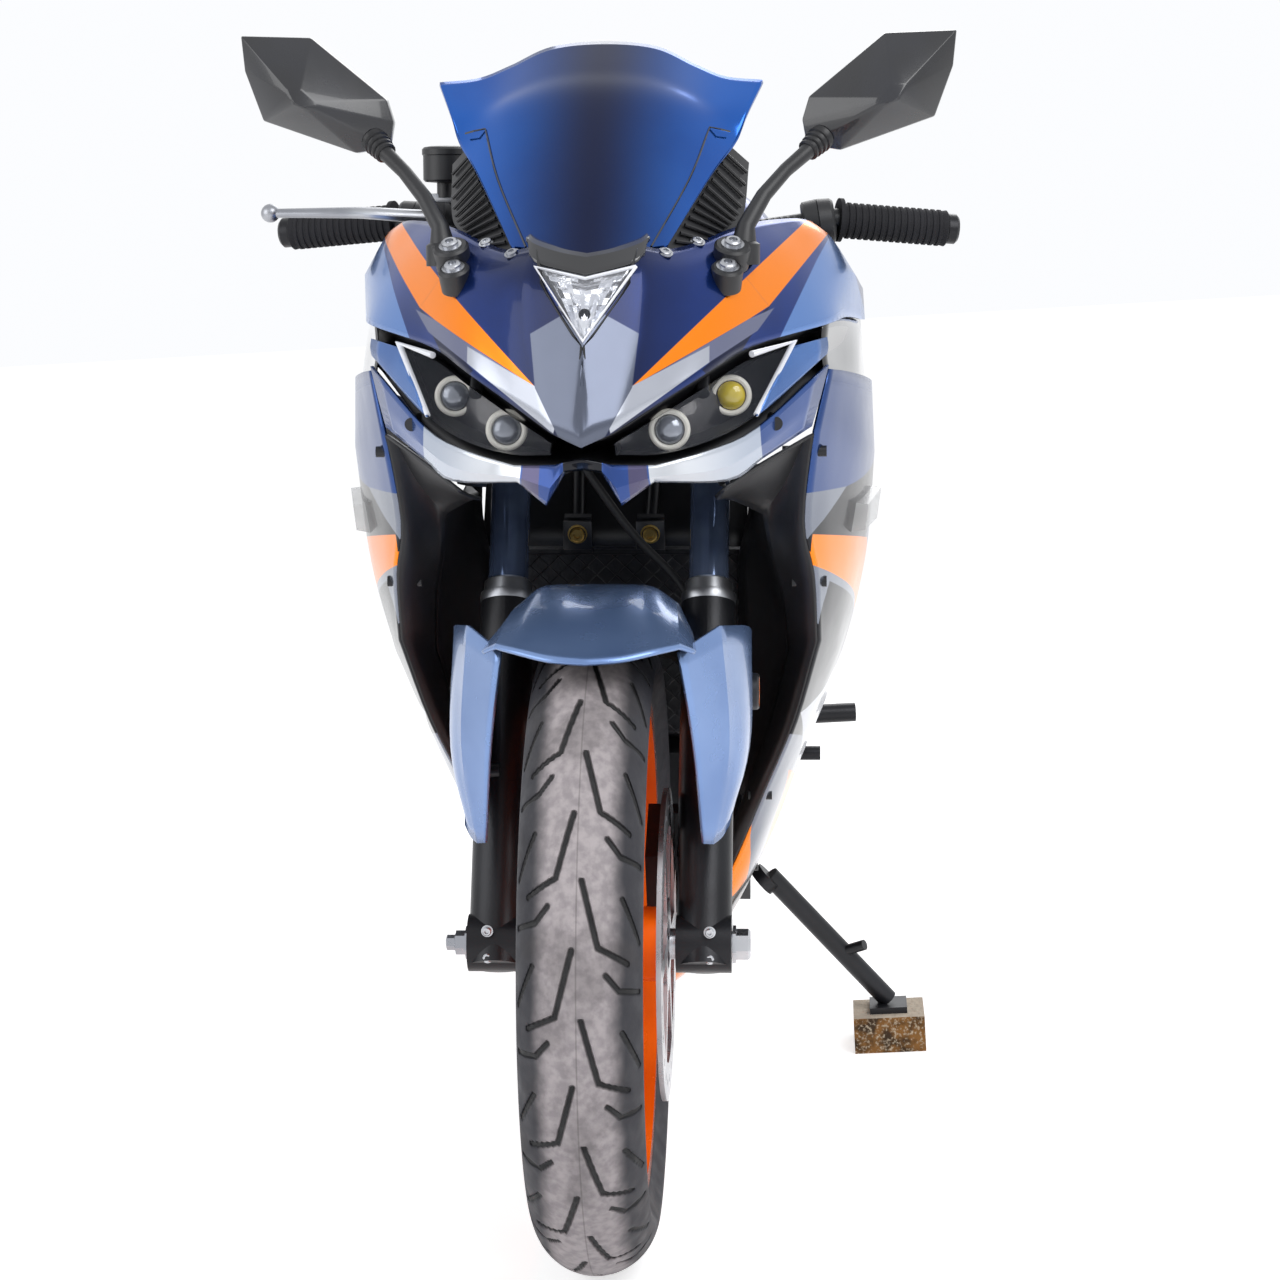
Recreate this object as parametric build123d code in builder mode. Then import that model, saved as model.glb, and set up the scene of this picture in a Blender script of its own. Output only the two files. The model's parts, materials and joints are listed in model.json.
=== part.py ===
# A small sport motorcycle, parked on its side stand with a block under the foot.
# Millimetres. X runs forward, Y to the rider's left, Z up, from the ground midway between the axles.
# Each piece is modelled upright and straight ahead, and is then turned as the parked machine stands.
import os
from math import cos, pi, radians, sin, sqrt, tan

from build123d import *

os.makedirs("parts", exist_ok=True)

# Wheels
WHEELBASE = 1380
FRONT_TYRE_R = 296
FRONT_TYRE_WIDTH = 106
REAR_TYRE_R = 314
REAR_TYRE_WIDTH = 142
RIM_R = 222
RIM_FLANGE = 8
RIM_WALL = 9
FRONT_RIM_WIDTH = 84
REAR_RIM_WIDTH = 112
HUB_R = 34
SPOKES = 5
SPOKE_THICK = 26
FRONT_AXLE_R = 7.5
REAR_AXLE_R = 8.5
FRONT_HUB_HALF = 50
RUNNING_GAP = 0.1
WORKING_GAP = 5
FRONT_DISC_R = 141
REAR_DISC_R = 110
DISC_THICK = 4.5
FRONT_DISC_Y = 60
REAR_DISC_Y = -88

# Steering and fork
RAKE = 25
TRAIL = 95
FORK_HALF = 94
FENDER_GAP = 26
FENDER_FORWARD = 32
FENDER_BACK = 42
FORK_TUBE_R = 18.5
FORK_COLLAR_R = 22
FORK_LEG_R = 25
FORK_LEG_TOP = 324
FORK_TUBE_TOP = 745
LOWER_YOKE = 523
UPPER_YOKE = 727
LOWER_YOKE_THICK = 32
UPPER_YOKE_THICK = 22
YOKE_EYE_R = 29
STEM_R = 14
HEAD_TUBE_R = 32
HEAD_BORE_R = 26
STEER_REST = 0

# Final drive
CHAIN_PITCH = 12.7
CHAIN_Y = 88
CHAIN_WIDTH = 15
CHAIN_SLOT = 10
CHAIN_PLATE = 12
ROLLER_R = 4.25
REAR_TEETH = 48
FRONT_TEETH = 14
SPROCKET_THICK = 5
SPROCKET_GAP = 0.8
DRIVE_X = -35
DRIVE_Z = 390

# Body
PANEL = 3
BAR_R = 11
GRIP_R = 17
FRAME_IN = 98
FRAME_OUT = 128
PIVOT_X = -110
PIVOT_Z = 384
ARM_IN = 102
ARM_OUT = 126
BOBBIN_X = -600
BOBBIN_Z = 318
BOBBIN_R = 4
BOBBIN_DEEP = 16
ENGINE_HALF = 84
COVER_THICK = 28

# Stand
LEAN = 3
BLOCK_HIGH = 40
BLOCK_LONG = 96
BLOCK_WIDE = 80
STAND_PIVOT = (-60, 139, 215)
STAND_FOOT = (-100, 273, 65)
STAND_R = 11

FRONT_AXLE_X = WHEELBASE / 2
REAR_AXLE_X = -WHEELBASE / 2
UP = (-sin(radians(RAKE)), 0, cos(radians(RAKE)))
STEM_FOOT = FRONT_AXLE_X + TRAIL
FORK_OFFSET = FRONT_TYRE_R * sin(radians(RAKE)) - TRAIL * cos(radians(RAKE))
ROLL_R = CHAIN_PITCH / (2 * sin(pi / REAR_TEETH))
DRIVE_R = CHAIN_PITCH / (2 * sin(pi / FRONT_TEETH))

# How the parked machine stands
STEERED = (
    Location((STEM_FOOT, 0, 0), (0, -RAKE, 0))
    * Location((0, 0, 0), (0, 0, STEER_REST))
    * Location((STEM_FOOT, 0, 0), (0, -RAKE, 0)).inverse()
)
PARKED = Location((0, 0, 0), (-LEAN, 0, 0))
GROUND = Plane.XY.rotated((LEAN, 0, 0))


def fork_point(along, side=0):
    """A point of the fork's line, measured along it from the axle."""
    return (FRONT_AXLE_X + along * UP[0], side, FRONT_TYRE_R + along * UP[2])


def stem_point(along, side=0):
    """The point of the steering axis beside a fork point."""
    x, y, z = fork_point(along, side)
    return (x - FORK_OFFSET * cos(radians(RAKE)), y, z - FORK_OFFSET * sin(radians(RAKE)))


def across(origin):
    """The plane square to the fork, its X towards the left."""
    return Plane(origin=origin, x_dir=(0, 1, 0), z_dir=UP)


def wheel_plane(x, z, y=0):
    """The plane of a wheel, at a distance to the left."""
    return Plane(origin=(x, y, z), x_dir=(1, 0, 0), z_dir=(0, -1, 0))


def rod(start, end, radius):
    """A round bar between two points."""
    run = Vector(*end) - Vector(*start)
    with BuildSketch(Plane(origin=start, z_dir=run)) as section:
        Circle(radius)
    extrude(section.sketch, amount=run.length)


def beam(start, end, wide, high):
    """A square-edged bar between two points, wide across the machine."""
    run = Vector(*end) - Vector(*start)
    sideways = (0, 1, 0) if abs(run.Y) < run.length / 2 else (1, 0, 0)
    with BuildSketch(Plane(origin=start, x_dir=sideways, z_dir=run)) as section:
        Rectangle(wide, high)
    extrude(section.sketch, amount=run.length)


def pipe(route, bend, radius):
    """A tube along straight runs joined by arcs."""
    with BuildLine() as path:
        FilletPolyline(*route, radius=bend)
    with BuildSketch(Plane(origin=path.line @ 0, z_dir=path.line % 0)) as section:
        Circle(radius)
    sweep(section.sketch, path=path.line)


def slab(outline, low_y, high_y, mode=Mode.ADD):
    """A side-view outline of x and z, as thick as from one y to another."""
    with BuildSketch(Plane.XZ.offset(-low_y)) as profile:
        Polygon(*outline, align=None)
    extrude(profile.sketch, amount=low_y - high_y, mode=mode)


def ruled(sections, mode=Mode.ADD):
    """A flat-sided body through outlines of y and z, each at its own x."""
    outlines = []
    for x, outline in sections:
        with BuildSketch(Plane(origin=(x, 0, 0), x_dir=(0, 1, 0), z_dir=(1, 0, 0))) as profile:
            Polygon(*outline, align=None)
        outlines.append(profile.sketch)
    loft(outlines, ruled=True, mode=mode)


def both(half):
    """A whole outline from its left half, which starts and ends at the middle."""
    return half + [(-y, z) for y, z in reversed(half) if y > 0]


def flipped(grid):
    """The other side's points of a grid."""
    return [[(x, -y, z) for x, y, z in reversed(row)] for row in grid]


def skin(grids, wall):
    """A panel behind its outer points: rows from the top down, left-side points from the front back."""
    quads = []
    for grid in grids:
        for upper, lower in zip(grid, grid[1:]):
            for at in range(len(upper) - 1):
                quad = (upper[at], lower[at], lower[at + 1], upper[at + 1])
                right = sum(point[1] for point in quad) < 0
                quads.append(quad[1:] + quad[:1] if right else quad)
    normals = {}
    for quad in quads:
        a, b, c, d = (Vector(*point) for point in quad)
        for point in quad:
            normals[point] = normals.get(point, Vector(0, 0, 0)) + (c - a).cross(d - b)
    inner = {point: Vector(*point) - normal.normalized() * wall for point, normal in normals.items()}
    faces = []
    rim = {}
    for quad in quads:
        for corners in (quad[:3], (quad[0], quad[2], quad[3])):
            if len(set(corners)) < 3:
                continue
            faces.append(Face(Wire.make_polygon([Vector(*point) for point in corners])))
            faces.append(Face(Wire.make_polygon([inner[point] for point in reversed(corners)])))
            for edge in zip(corners, corners[1:] + corners[:1]):
                rim[frozenset(edge)] = None if frozenset(edge) in rim else edge
    for edge in (edge for edge in rim.values() if edge):
        start, end = edge
        faces.append(Face(Wire.make_polygon([Vector(*end), Vector(*start), inner[start]])))
        faces.append(Face(Wire.make_polygon([Vector(*end), inner[start], inner[end]])))
    return Solid(Shell(faces))


finished = []


def park(piece, label, place=PARKED):
    """Stand a finished sub-part where it parks, and name it."""
    standing = place * (piece.part if isinstance(piece, BuildPart) else piece)
    standing.label = label
    finished.append(standing)


# Front wheel
front_hub = wheel_plane(FRONT_AXLE_X, FRONT_TYRE_R)
rear_hub = wheel_plane(REAR_AXLE_X, REAR_TYRE_R)
front_spin = Axis((FRONT_AXLE_X, 0, FRONT_TYRE_R), (0, 1, 0))
rear_spin = Axis((REAR_AXLE_X, 0, REAR_TYRE_R), (0, 1, 0))


def tyre_section(x, z, radius, width, rim_width):
    """The outline of a tyre, above its axle: a round crown, shoulders and a bead."""
    shoulder = RIM_R + 0.45 * (radius - RIM_R)
    bead = rim_width / 2 - RIM_FLANGE
    with BuildSketch(Plane(origin=(x, 0, z), x_dir=(0, 1, 0), z_dir=(1, 0, 0))) as section:
        with BuildLine():
            ThreePointArc((-width / 2, shoulder), (0, radius), (width / 2, shoulder))
            Polyline(
                (width / 2, shoulder), (rim_width / 2, RIM_R + RIM_FLANGE), (bead, RIM_R + RIM_FLANGE),
                (bead, RIM_R), (-bead, RIM_R), (-bead, RIM_R + RIM_FLANGE),
                (-rim_width / 2, RIM_R + RIM_FLANGE), (-width / 2, shoulder),
            )
        make_face()
    return section.sketch


def rim_section(x, z, width):
    """The outline of a rim's barrel, above its axle."""
    half = width / 2
    bead = half - RIM_FLANGE
    with BuildSketch(Plane(origin=(x, 0, z), x_dir=(0, 1, 0), z_dir=(1, 0, 0))) as section:
        Polygon(
            (-half, RIM_R + RIM_FLANGE), (-bead, RIM_R + RIM_FLANGE), (-bead, RIM_R), (bead, RIM_R),
            (bead, RIM_R + RIM_FLANGE), (half, RIM_R + RIM_FLANGE), (half, RIM_R - RIM_WALL),
            (-half, RIM_R - RIM_WALL), align=None,
        )
    return section.sketch


def spoke_set(plane, rim_width):
    """The arms from hub to barrel, each a pair that spreads outwards."""
    reach = sqrt((RIM_R - 3) ** 2 - 52**2)
    foot = HUB_R - 8
    with BuildSketch(plane) as arms:
        with PolarLocations(0, SPOKES):
            Polygon((foot, -9), (reach, 34), (reach, 52), (foot, 9), align=None)
            Polygon((foot, 9), (reach, -34), (reach, -52), (foot, -9), align=None)
    extrude(arms.sketch, amount=SPOKE_THICK / 2, both=True)


def disc_ring(plane, radius, inner):
    """A brake disc with its carrier's arms, drilled all round."""
    with BuildSketch(plane) as ring:
        Circle(radius)
        Circle(inner, mode=Mode.SUBTRACT)
        with PolarLocations((radius + inner) / 2, 24):
            Circle(3.5, mode=Mode.SUBTRACT)
        with PolarLocations((inner + 4 + HUB_R) / 2, 6):
            Rectangle(inner + 4 - HUB_R, 16)
        Circle(HUB_R + 8)
        Circle(HUB_R - 12, mode=Mode.SUBTRACT)
    extrude(ring.sketch, amount=DISC_THICK / 2, both=True)


with BuildPart() as front_tyre:
    revolve(tyre_section(FRONT_AXLE_X, FRONT_TYRE_R, FRONT_TYRE_R, FRONT_TYRE_WIDTH, FRONT_RIM_WIDTH), axis=front_spin)

with BuildPart() as front_rim:
    revolve(rim_section(FRONT_AXLE_X, FRONT_TYRE_R, FRONT_RIM_WIDTH), axis=front_spin)
    spoke_set(front_hub, FRONT_RIM_WIDTH)
    rod((FRONT_AXLE_X, -FRONT_HUB_HALF, FRONT_TYRE_R), (FRONT_AXLE_X, FRONT_DISC_Y - DISC_THICK / 2, FRONT_TYRE_R), HUB_R)
    with Locations(front_hub):
        Hole(FRONT_AXLE_R + RUNNING_GAP)

with BuildPart() as front_disc:
    disc_ring(wheel_plane(FRONT_AXLE_X, FRONT_TYRE_R, FRONT_DISC_Y), FRONT_DISC_R, FRONT_DISC_R - 34)

# Rear wheel
with BuildPart() as rear_tyre:
    revolve(tyre_section(REAR_AXLE_X, REAR_TYRE_R, REAR_TYRE_R, REAR_TYRE_WIDTH, REAR_RIM_WIDTH), axis=rear_spin)

with BuildPart() as rear_rim:
    revolve(rim_section(REAR_AXLE_X, REAR_TYRE_R, REAR_RIM_WIDTH), axis=rear_spin)
    spoke_set(rear_hub, REAR_RIM_WIDTH)
    rod(
        (REAR_AXLE_X, REAR_DISC_Y + DISC_THICK / 2, REAR_TYRE_R),
        (REAR_AXLE_X, CHAIN_Y - SPROCKET_THICK / 2, REAR_TYRE_R),
        HUB_R,
    )
    with Locations(rear_hub):
        Hole(REAR_AXLE_R + RUNNING_GAP)

with BuildPart() as rear_disc:
    disc_ring(wheel_plane(REAR_AXLE_X, REAR_TYRE_R, REAR_DISC_Y), REAR_DISC_R, REAR_DISC_R - 30)

with BuildPart() as rear_sprocket:
    with BuildSketch(wheel_plane(REAR_AXLE_X, REAR_TYRE_R, CHAIN_Y)) as teeth:
        Circle(ROLL_R - ROLLER_R - SPROCKET_GAP - 5)
        with PolarLocations(ROLL_R - ROLLER_R - SPROCKET_GAP - 5, REAR_TEETH):
            Polygon((-3, -3.4), (5, -1.4), (5, 1.4), (-3, 3.4), align=None)
        with PolarLocations(62, 6):
            Circle(12, mode=Mode.SUBTRACT)
        Circle(HUB_R - 12, mode=Mode.SUBTRACT)
    extrude(teeth.sketch, amount=SPROCKET_THICK / 2, both=True)

# Fork, yokes and front axle, all on the steering
with BuildPart() as yokes:
    for along, thick in ((LOWER_YOKE, LOWER_YOKE_THICK), (UPPER_YOKE, UPPER_YOKE_THICK)):
        with BuildSketch(across(fork_point(along))) as plate:
            Polygon(
                (-FORK_HALF, 3 - YOKE_EYE_R), (FORK_HALF, 3 - YOKE_EYE_R), (FORK_HALF + 8, YOKE_EYE_R - 8),
                (24, FORK_OFFSET + 22), (-24, FORK_OFFSET + 22), (-FORK_HALF - 8, YOKE_EYE_R - 8), align=None,
            )
            with Locations((FORK_HALF, 0), (-FORK_HALF, 0)):
                Circle(YOKE_EYE_R)
            with Locations((FORK_HALF, 0), (-FORK_HALF, 0)):
                Circle(FORK_TUBE_R, mode=Mode.SUBTRACT)
        extrude(plate.sketch, amount=thick / 2, both=True)
    rod(stem_point(LOWER_YOKE), stem_point(UPPER_YOKE), STEM_R)
    rod(stem_point(UPPER_YOKE), stem_point(UPPER_YOKE + 22), STEM_R + 3)

with BuildPart() as fork_tubes:
    for side in (-FORK_HALF, FORK_HALF):
        rod(fork_point(FORK_LEG_TOP, side), fork_point(FORK_TUBE_TOP, side), FORK_TUBE_R)
    for side in (-FORK_HALF, FORK_HALF):
        with BuildSketch(across(fork_point(FORK_LEG_TOP, side))) as ring:
            Circle(FORK_COLLAR_R)
            Circle(FORK_TUBE_R, mode=Mode.SUBTRACT)
        extrude(ring.sketch, amount=18)

with BuildPart() as fork_legs:
    for side in (-FORK_HALF, FORK_HALF):
        rod(fork_point(-22, side), fork_point(FORK_LEG_TOP, side), FORK_LEG_R)
        rod((FRONT_AXLE_X, side - FORK_LEG_R, FRONT_TYRE_R), (FRONT_AXLE_X, side + FORK_LEG_R, FRONT_TYRE_R), 26)
        out = 1 if side > 0 else -1
        rod((600, side, 514), (600, out * 129.5, 514), 8)
        rod((644, side, 446), (644, out * 126.5, 446), 7)
    with Locations(front_hub):
        Hole(FRONT_AXLE_R)

with BuildPart() as front_axle:
    rod((FRONT_AXLE_X, -132, FRONT_TYRE_R), (FRONT_AXLE_X, 124, FRONT_TYRE_R), FRONT_AXLE_R)
    rod((FRONT_AXLE_X, FORK_HALF + FORK_LEG_R, FRONT_TYRE_R), (FRONT_AXLE_X, 134, FRONT_TYRE_R), 12)
    rod((FRONT_AXLE_X, -FORK_HALF - FORK_LEG_R, FRONT_TYRE_R), (FRONT_AXLE_X, -129, FRONT_TYRE_R), 9)
    for low, high in ((-FORK_HALF + FORK_LEG_R, -FRONT_HUB_HALF - 1), (FRONT_DISC_Y + DISC_THICK / 2 + 1, FORK_HALF - FORK_LEG_R)):
        rod((FRONT_AXLE_X, low, FRONT_TYRE_R), (FRONT_AXLE_X, high, FRONT_TYRE_R), 14)

GUARD = [
    [(800, 78, 575), (745, 112, 592), (650, 134, 580), (562, 134, 556)],
    [(778, 90, 490), (738, 119, 485), (690, 134, 475), (582, 134, 470)],
    [(758, 96, 400), (738, 113, 402), (722, 124, 408), (702, 129, 418)],
]

with BuildPart() as front_fender:
    crown = FRONT_TYRE_R + FENDER_GAP
    tail = radians(FENDER_BACK)
    rear_end = Plane(origin=(FRONT_AXLE_X, 0, FRONT_TYRE_R), x_dir=(0, 1, 0), z_dir=(cos(tail), 0, sin(tail)))
    with BuildSketch(rear_end) as hoop:
        Polygon(
            (-79, crown - 38), (-72, crown - 16), (-40, crown - 3), (0, crown + PANEL),
            (40, crown - 3), (72, crown - 16), (79, crown - 38),
            (76, crown - 38), (69.5, crown - 18), (39, crown - 6), (0, crown),
            (-39, crown - 6), (-69.5, crown - 18), (-76, crown - 38), align=None,
        )
    revolve(hoop.sketch, axis=front_spin, revolution_arc=FENDER_BACK + FENDER_FORWARD)
    add(fork_legs.part, mode=Mode.SUBTRACT)
    add(skin([GUARD], PANEL))
    add(skin([flipped(GUARD)], PANEL))
    for out in (1, -1):
        rod((600, out * 134.2, 514), (600, out * 142, 514), 17)

with BuildPart() as front_caliper:
    with BuildSketch(wheel_plane(FRONT_AXLE_X, FRONT_TYRE_R, 38)) as body:
        with Locations(Location((-102, 59), 60)):
            Rectangle(70, 76)
    extrude(body.sketch, amount=-52)
    slot_y = FRONT_DISC_Y - DISC_THICK / 2 - WORKING_GAP
    with BuildSketch(wheel_plane(FRONT_AXLE_X, FRONT_TYRE_R, slot_y)) as slot:
        Circle(FRONT_DISC_R + WORKING_GAP)
    extrude(slot.sketch, amount=-(DISC_THICK + 2 * WORKING_GAP), mode=Mode.SUBTRACT)
    beam((600, 84, 372), (636, 84, 388), 14, 24)
    add(fork_legs.part, mode=Mode.SUBTRACT)

# Handlebars
BAR_IN = (404, 134, 934)
BAR_MID = (400, 212, 945)
BAR_END = (377, 318, 936)


def bar_point(share):
    """A point of the left bar, from its clamp at 0 to its end at 1."""
    low, high = (Vector(*BAR_MID), Vector(*BAR_END)) if share > 0.42 else (Vector(*BAR_IN), Vector(*BAR_MID))
    part = (share - 0.42) / 0.58 if share > 0.42 else share / 0.42
    return low + (high - low) * part


with BuildPart() as handlebars:
    for side in (-FORK_HALF, FORK_HALF):
        with BuildSketch(across(fork_point(UPPER_YOKE - 42, side))) as clamp:
            Circle(FORK_TUBE_R + 9)
            Circle(FORK_TUBE_R, mode=Mode.SUBTRACT)
        extrude(clamp.sketch, amount=26)
    for out in (1, -1):
        pipe([(392, out * 106, 918), (404, out * 134, 934), (400, out * 212, 945), (377, out * 318, 936)], 14, BAR_R)
    add(fork_tubes.part, mode=Mode.SUBTRACT)

with BuildPart() as hand_controls:
    for out in (1, -1):
        tip = bar_point(1)
        root = bar_point(0.45)
        rod((root.X, out * root.Y, root.Z), (tip.X, out * tip.Y, tip.Z), GRIP_R)
        end = tip + (tip - root).normalized() * 12
        rod((tip.X, out * tip.Y, tip.Z), (end.X, out * end.Y, end.Z), GRIP_R - 1)
    for out in (1, -1):
        root = bar_point(0.26)
        tip = bar_point(0.41)
        rod((root.X, out * root.Y, root.Z), (tip.X, out * tip.Y, tip.Z), 23)
    add(handlebars.part, mode=Mode.SUBTRACT)

with BuildPart() as brake_lever:
    rod((425, -148, 952), (425, -182, 950), 15)
    beam((412, -152, 951), (432, -152, 951), 22, 26)
    beam((430, -165, 952), (452, -190, 950), 14, 12)
    pipe([(452, -186, 950), (464, -235, 954), (450, -328, 954)], 60, 6)
    with Locations((450, -328, 954)):
        Sphere(9)
    rod((428, -162, 965), (428, -162, 982), 8)
    rod((428, -162, 980), (428, -162, 1016), 21)
    add(handlebars.part, mode=Mode.SUBTRACT)
    add(hand_controls.part, mode=Mode.SUBTRACT)

HOSE = [
    (440, -150, 956), (466, -124, 918), (488, -104, 866), (516, -84, 806), (522, -48, 752), (516, -14, 700),
    (504, 22, 648), (506, 66, 606), (524, 92, 560), (544, 94, 500), (563, 86, 446), (570, 74, 402),
]


def hose_bends(route):
    """The largest tangent arcs that a route's runs allow."""
    points = [Vector(*point) for point in route]
    radii = []
    for before, at, after in zip(points, points[1:], points[2:]):
        turn = (at - before).get_angle(after - at)
        radii.append(0.45 * min((at - before).length, (after - at).length) / tan(radians(turn) / 2))
    return radii


with BuildPart() as brake_hose:
    pipe(HOSE, hose_bends(HOSE), 4)
    add(brake_lever.part, mode=Mode.SUBTRACT)
    add(front_caliper.part, mode=Mode.SUBTRACT)
print("hose radii", [round(radius) for radius in hose_bends(HOSE)])

# Frame
BEAM = [
    (384, [(10, 772), (36, 778), (36, 868), (10, 874)]),
    (330, [(30, 738), (62, 742), (62, 862), (30, 866)]),
    (262, [(70, 700), (102, 704), (102, 826), (70, 830)]),
    (60, [(FRAME_IN, 540), (FRAME_OUT, 544), (FRAME_OUT, 640), (FRAME_IN, 644)]),
    (-60, [(FRAME_IN, 425), (FRAME_OUT, 428), (FRAME_OUT, 556), (FRAME_IN, 560)]),
    (-150, [(FRAME_IN, 330), (FRAME_OUT, 333), (FRAME_OUT, 500), (FRAME_IN, 503)]),
]
PIVOT_PLATE = [(-60, 430), (-52, 330), (-70, 262), (-120, 262), (-150, 332), (-150, 480)]

with BuildPart() as main_frame:
    ruled(BEAM)
    ruled([(x, [(-y, z) for y, z in outline]) for x, outline in BEAM])
    for out in (1, -1):
        slab(PIVOT_PLATE, min(out * FRAME_IN, out * FRAME_OUT), max(out * FRAME_IN, out * FRAME_OUT))
    rod(stem_point(LOWER_YOKE + 24), stem_point(UPPER_YOKE - 20), HEAD_TUBE_R)
    rod((-118, -FRAME_IN, 520), (-118, FRAME_IN, 520), 20)
    rod((-96, -FRAME_IN, 290), (-96, FRAME_IN, 290), 16)
    slab([(-110, 264), (-70, 264), (-40, 215), (-48, 190), (-84, 190), (-110, 240)], 100, 118)
    with BuildSketch(across(stem_point(LOWER_YOKE + 24))) as bore:
        Circle(HEAD_BORE_R)
    extrude(bore.sketch, amount=UPPER_YOKE - LOWER_YOKE - 44, mode=Mode.SUBTRACT)
    with Locations(wheel_plane(PIVOT_X, PIVOT_Z)):
        Hole(9)
    for along in (LOWER_YOKE + 24, UPPER_YOKE - 20 - 16):
        with BuildSketch(across(stem_point(along))) as race:
            Circle(HEAD_BORE_R)
            Circle(STEM_R + RUNNING_GAP, mode=Mode.SUBTRACT)
        extrude(race.sketch, amount=16)

with BuildPart() as seat_rails:
    for out in (1, -1):
        pipe([(-128, out * 88, 520), (-60, out * 86, 690), (-330, out * 82, 712), (-780, out * 62, 806)], 40, 12)
        rod((-128, out * 88, 520), (-440, out * 78, 728), 10)
    rod((-330, -82, 712), (-330, 82, 712), 9)
    rod((-720, -64, 793), (-720, 64, 793), 9)
    add(main_frame.part, mode=Mode.SUBTRACT)

# Engine: one heavy block with its covers and drive sprocket
CRANKCASE = [(-40, 430), (-45, 250), (-10, 215), (150, 215), (215, 290), (205, 395), (60, 445)]

with BuildPart() as engine:
    slab(CRANKCASE, -ENGINE_HALF, 72)
    slab([(20, 430), (20, 215), (150, 215), (215, 290), (205, 395)], 70, ENGINE_HALF)
    with BuildSketch(Plane(origin=(90, 0, 400), x_dir=(0, 1, 0), z_dir=(0.5, 0, 0.866))) as barrel:
        Rectangle(128, 132)
    extrude(barrel.sketch, amount=215)
    for y, x, z, radius in ((ENGINE_HALF, 105, 318, 68), (-ENGINE_HALF - COVER_THICK, 70, 322, 70)):
        rod((x, y, z), (x, y + COVER_THICK, z), radius)
    rod((DRIVE_X, 60, DRIVE_Z), (DRIVE_X, CHAIN_Y - 3, DRIVE_Z), 16)
    rod((DRIVE_X, CHAIN_Y - 3, DRIVE_Z), (DRIVE_X, CHAIN_Y + 3, DRIVE_Z), DRIVE_R - ROLLER_R - SPROCKET_GAP)
    rod((-96, -60, 290), (-40, -60, 290), 12)
    add(main_frame.part, mode=Mode.SUBTRACT)

with BuildPart() as exhaust_pipe:
    pipe([(205, -28, 520), (262, -28, 500), (285, -40, 380), (262, -52, 240), (226, -56, 186), (-40, -62, 186), (-110, -112, 212), (-196, -172, 262)], 24, 17)
    add(engine.part, mode=Mode.SUBTRACT)

with BuildPart() as muffler:
    start = Vector(-196, -174, 262)
    run = Vector(-364, -24, 142)
    rings = []
    for share, radius in ((0, 32), (0.2, 48), (0.9, 53), (1, 42)):
        with BuildSketch(Plane(origin=start + run * share, x_dir=(0, 1, 0), z_dir=run)) as ring:
            RegularPolygon(radius, 6)
        rings.append(ring.sketch)
    loft(rings, ruled=True)
    with BuildSketch(Plane(origin=start + run, x_dir=(0, 1, 0), z_dir=-run)) as outlet:
        Circle(24)
    extrude(outlet.sketch, amount=60, mode=Mode.SUBTRACT)
    add(exhaust_pipe.part, mode=Mode.SUBTRACT)

# Swingarm, rear axle, chain and rear brake
ARM = [(-172, 352), (-172, 400), (-640, 352), (-728, 346), (-728, 286), (-640, 286)]

with BuildPart() as swingarm:
    rod((PIVOT_X, -FRAME_IN + 1, PIVOT_Z), (PIVOT_X, FRAME_IN - 1, PIVOT_Z), 20)
    for out in (1, -1):
        slab([(-110, 366), (-110, 402), (-200, 398), (-200, 352)], *sorted((out * 44, out * 70)))
        slab(ARM, *sorted((out * ARM_IN, out * ARM_OUT)))
    slab([(-176, 352), (-176, 398), (-232, 392), (-232, 350)], -ARM_OUT, ARM_OUT)
    slab([(-250, 432), (-590, 430), (-590, 427), (-250, 429)], 76, 101)
    slab([(-250, 430), (-590, 428), (-560, 354), (-300, 382)], 98.5, 101)
    slab([(-300, 383), (-560, 356), (-560, 361), (-300, 388)], 98.5, 112)
    with Locations(rear_hub):
        Hole(REAR_AXLE_R)
    with Locations(wheel_plane(PIVOT_X, PIVOT_Z)):
        Hole(9)
    for y in (-ARM_OUT, ARM_OUT):
        with BuildSketch(wheel_plane(BOBBIN_X, BOBBIN_Z, y)) as thread:
            Circle(BOBBIN_R)
        extrude(thread.sketch, amount=BOBBIN_DEEP if y > 0 else -BOBBIN_DEEP, mode=Mode.SUBTRACT)

with BuildPart() as rear_axle:
    rod((PIVOT_X, -FRAME_OUT - 4, PIVOT_Z), (PIVOT_X, FRAME_OUT + 4, PIVOT_Z), 9)
    for low in (-FRAME_OUT - 12, FRAME_OUT):
        rod((PIVOT_X, low, PIVOT_Z), (PIVOT_X, low + 12, PIVOT_Z), 16)
    rod((REAR_AXLE_X, -ARM_OUT - 12, REAR_TYRE_R), (REAR_AXLE_X, ARM_OUT + 12, REAR_TYRE_R), REAR_AXLE_R)
    for low in (-ARM_OUT - 14, ARM_OUT):
        rod((REAR_AXLE_X, low, REAR_TYRE_R), (REAR_AXLE_X, low + 14, REAR_TYRE_R), 15)
    for low, high in ((-ARM_IN, REAR_DISC_Y - DISC_THICK / 2 - 1), (CHAIN_Y + SPROCKET_THICK / 2 + 1, ARM_IN)):
        rod((REAR_AXLE_X, low, REAR_TYRE_R), (REAR_AXLE_X, high, REAR_TYRE_R), 14)


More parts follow.
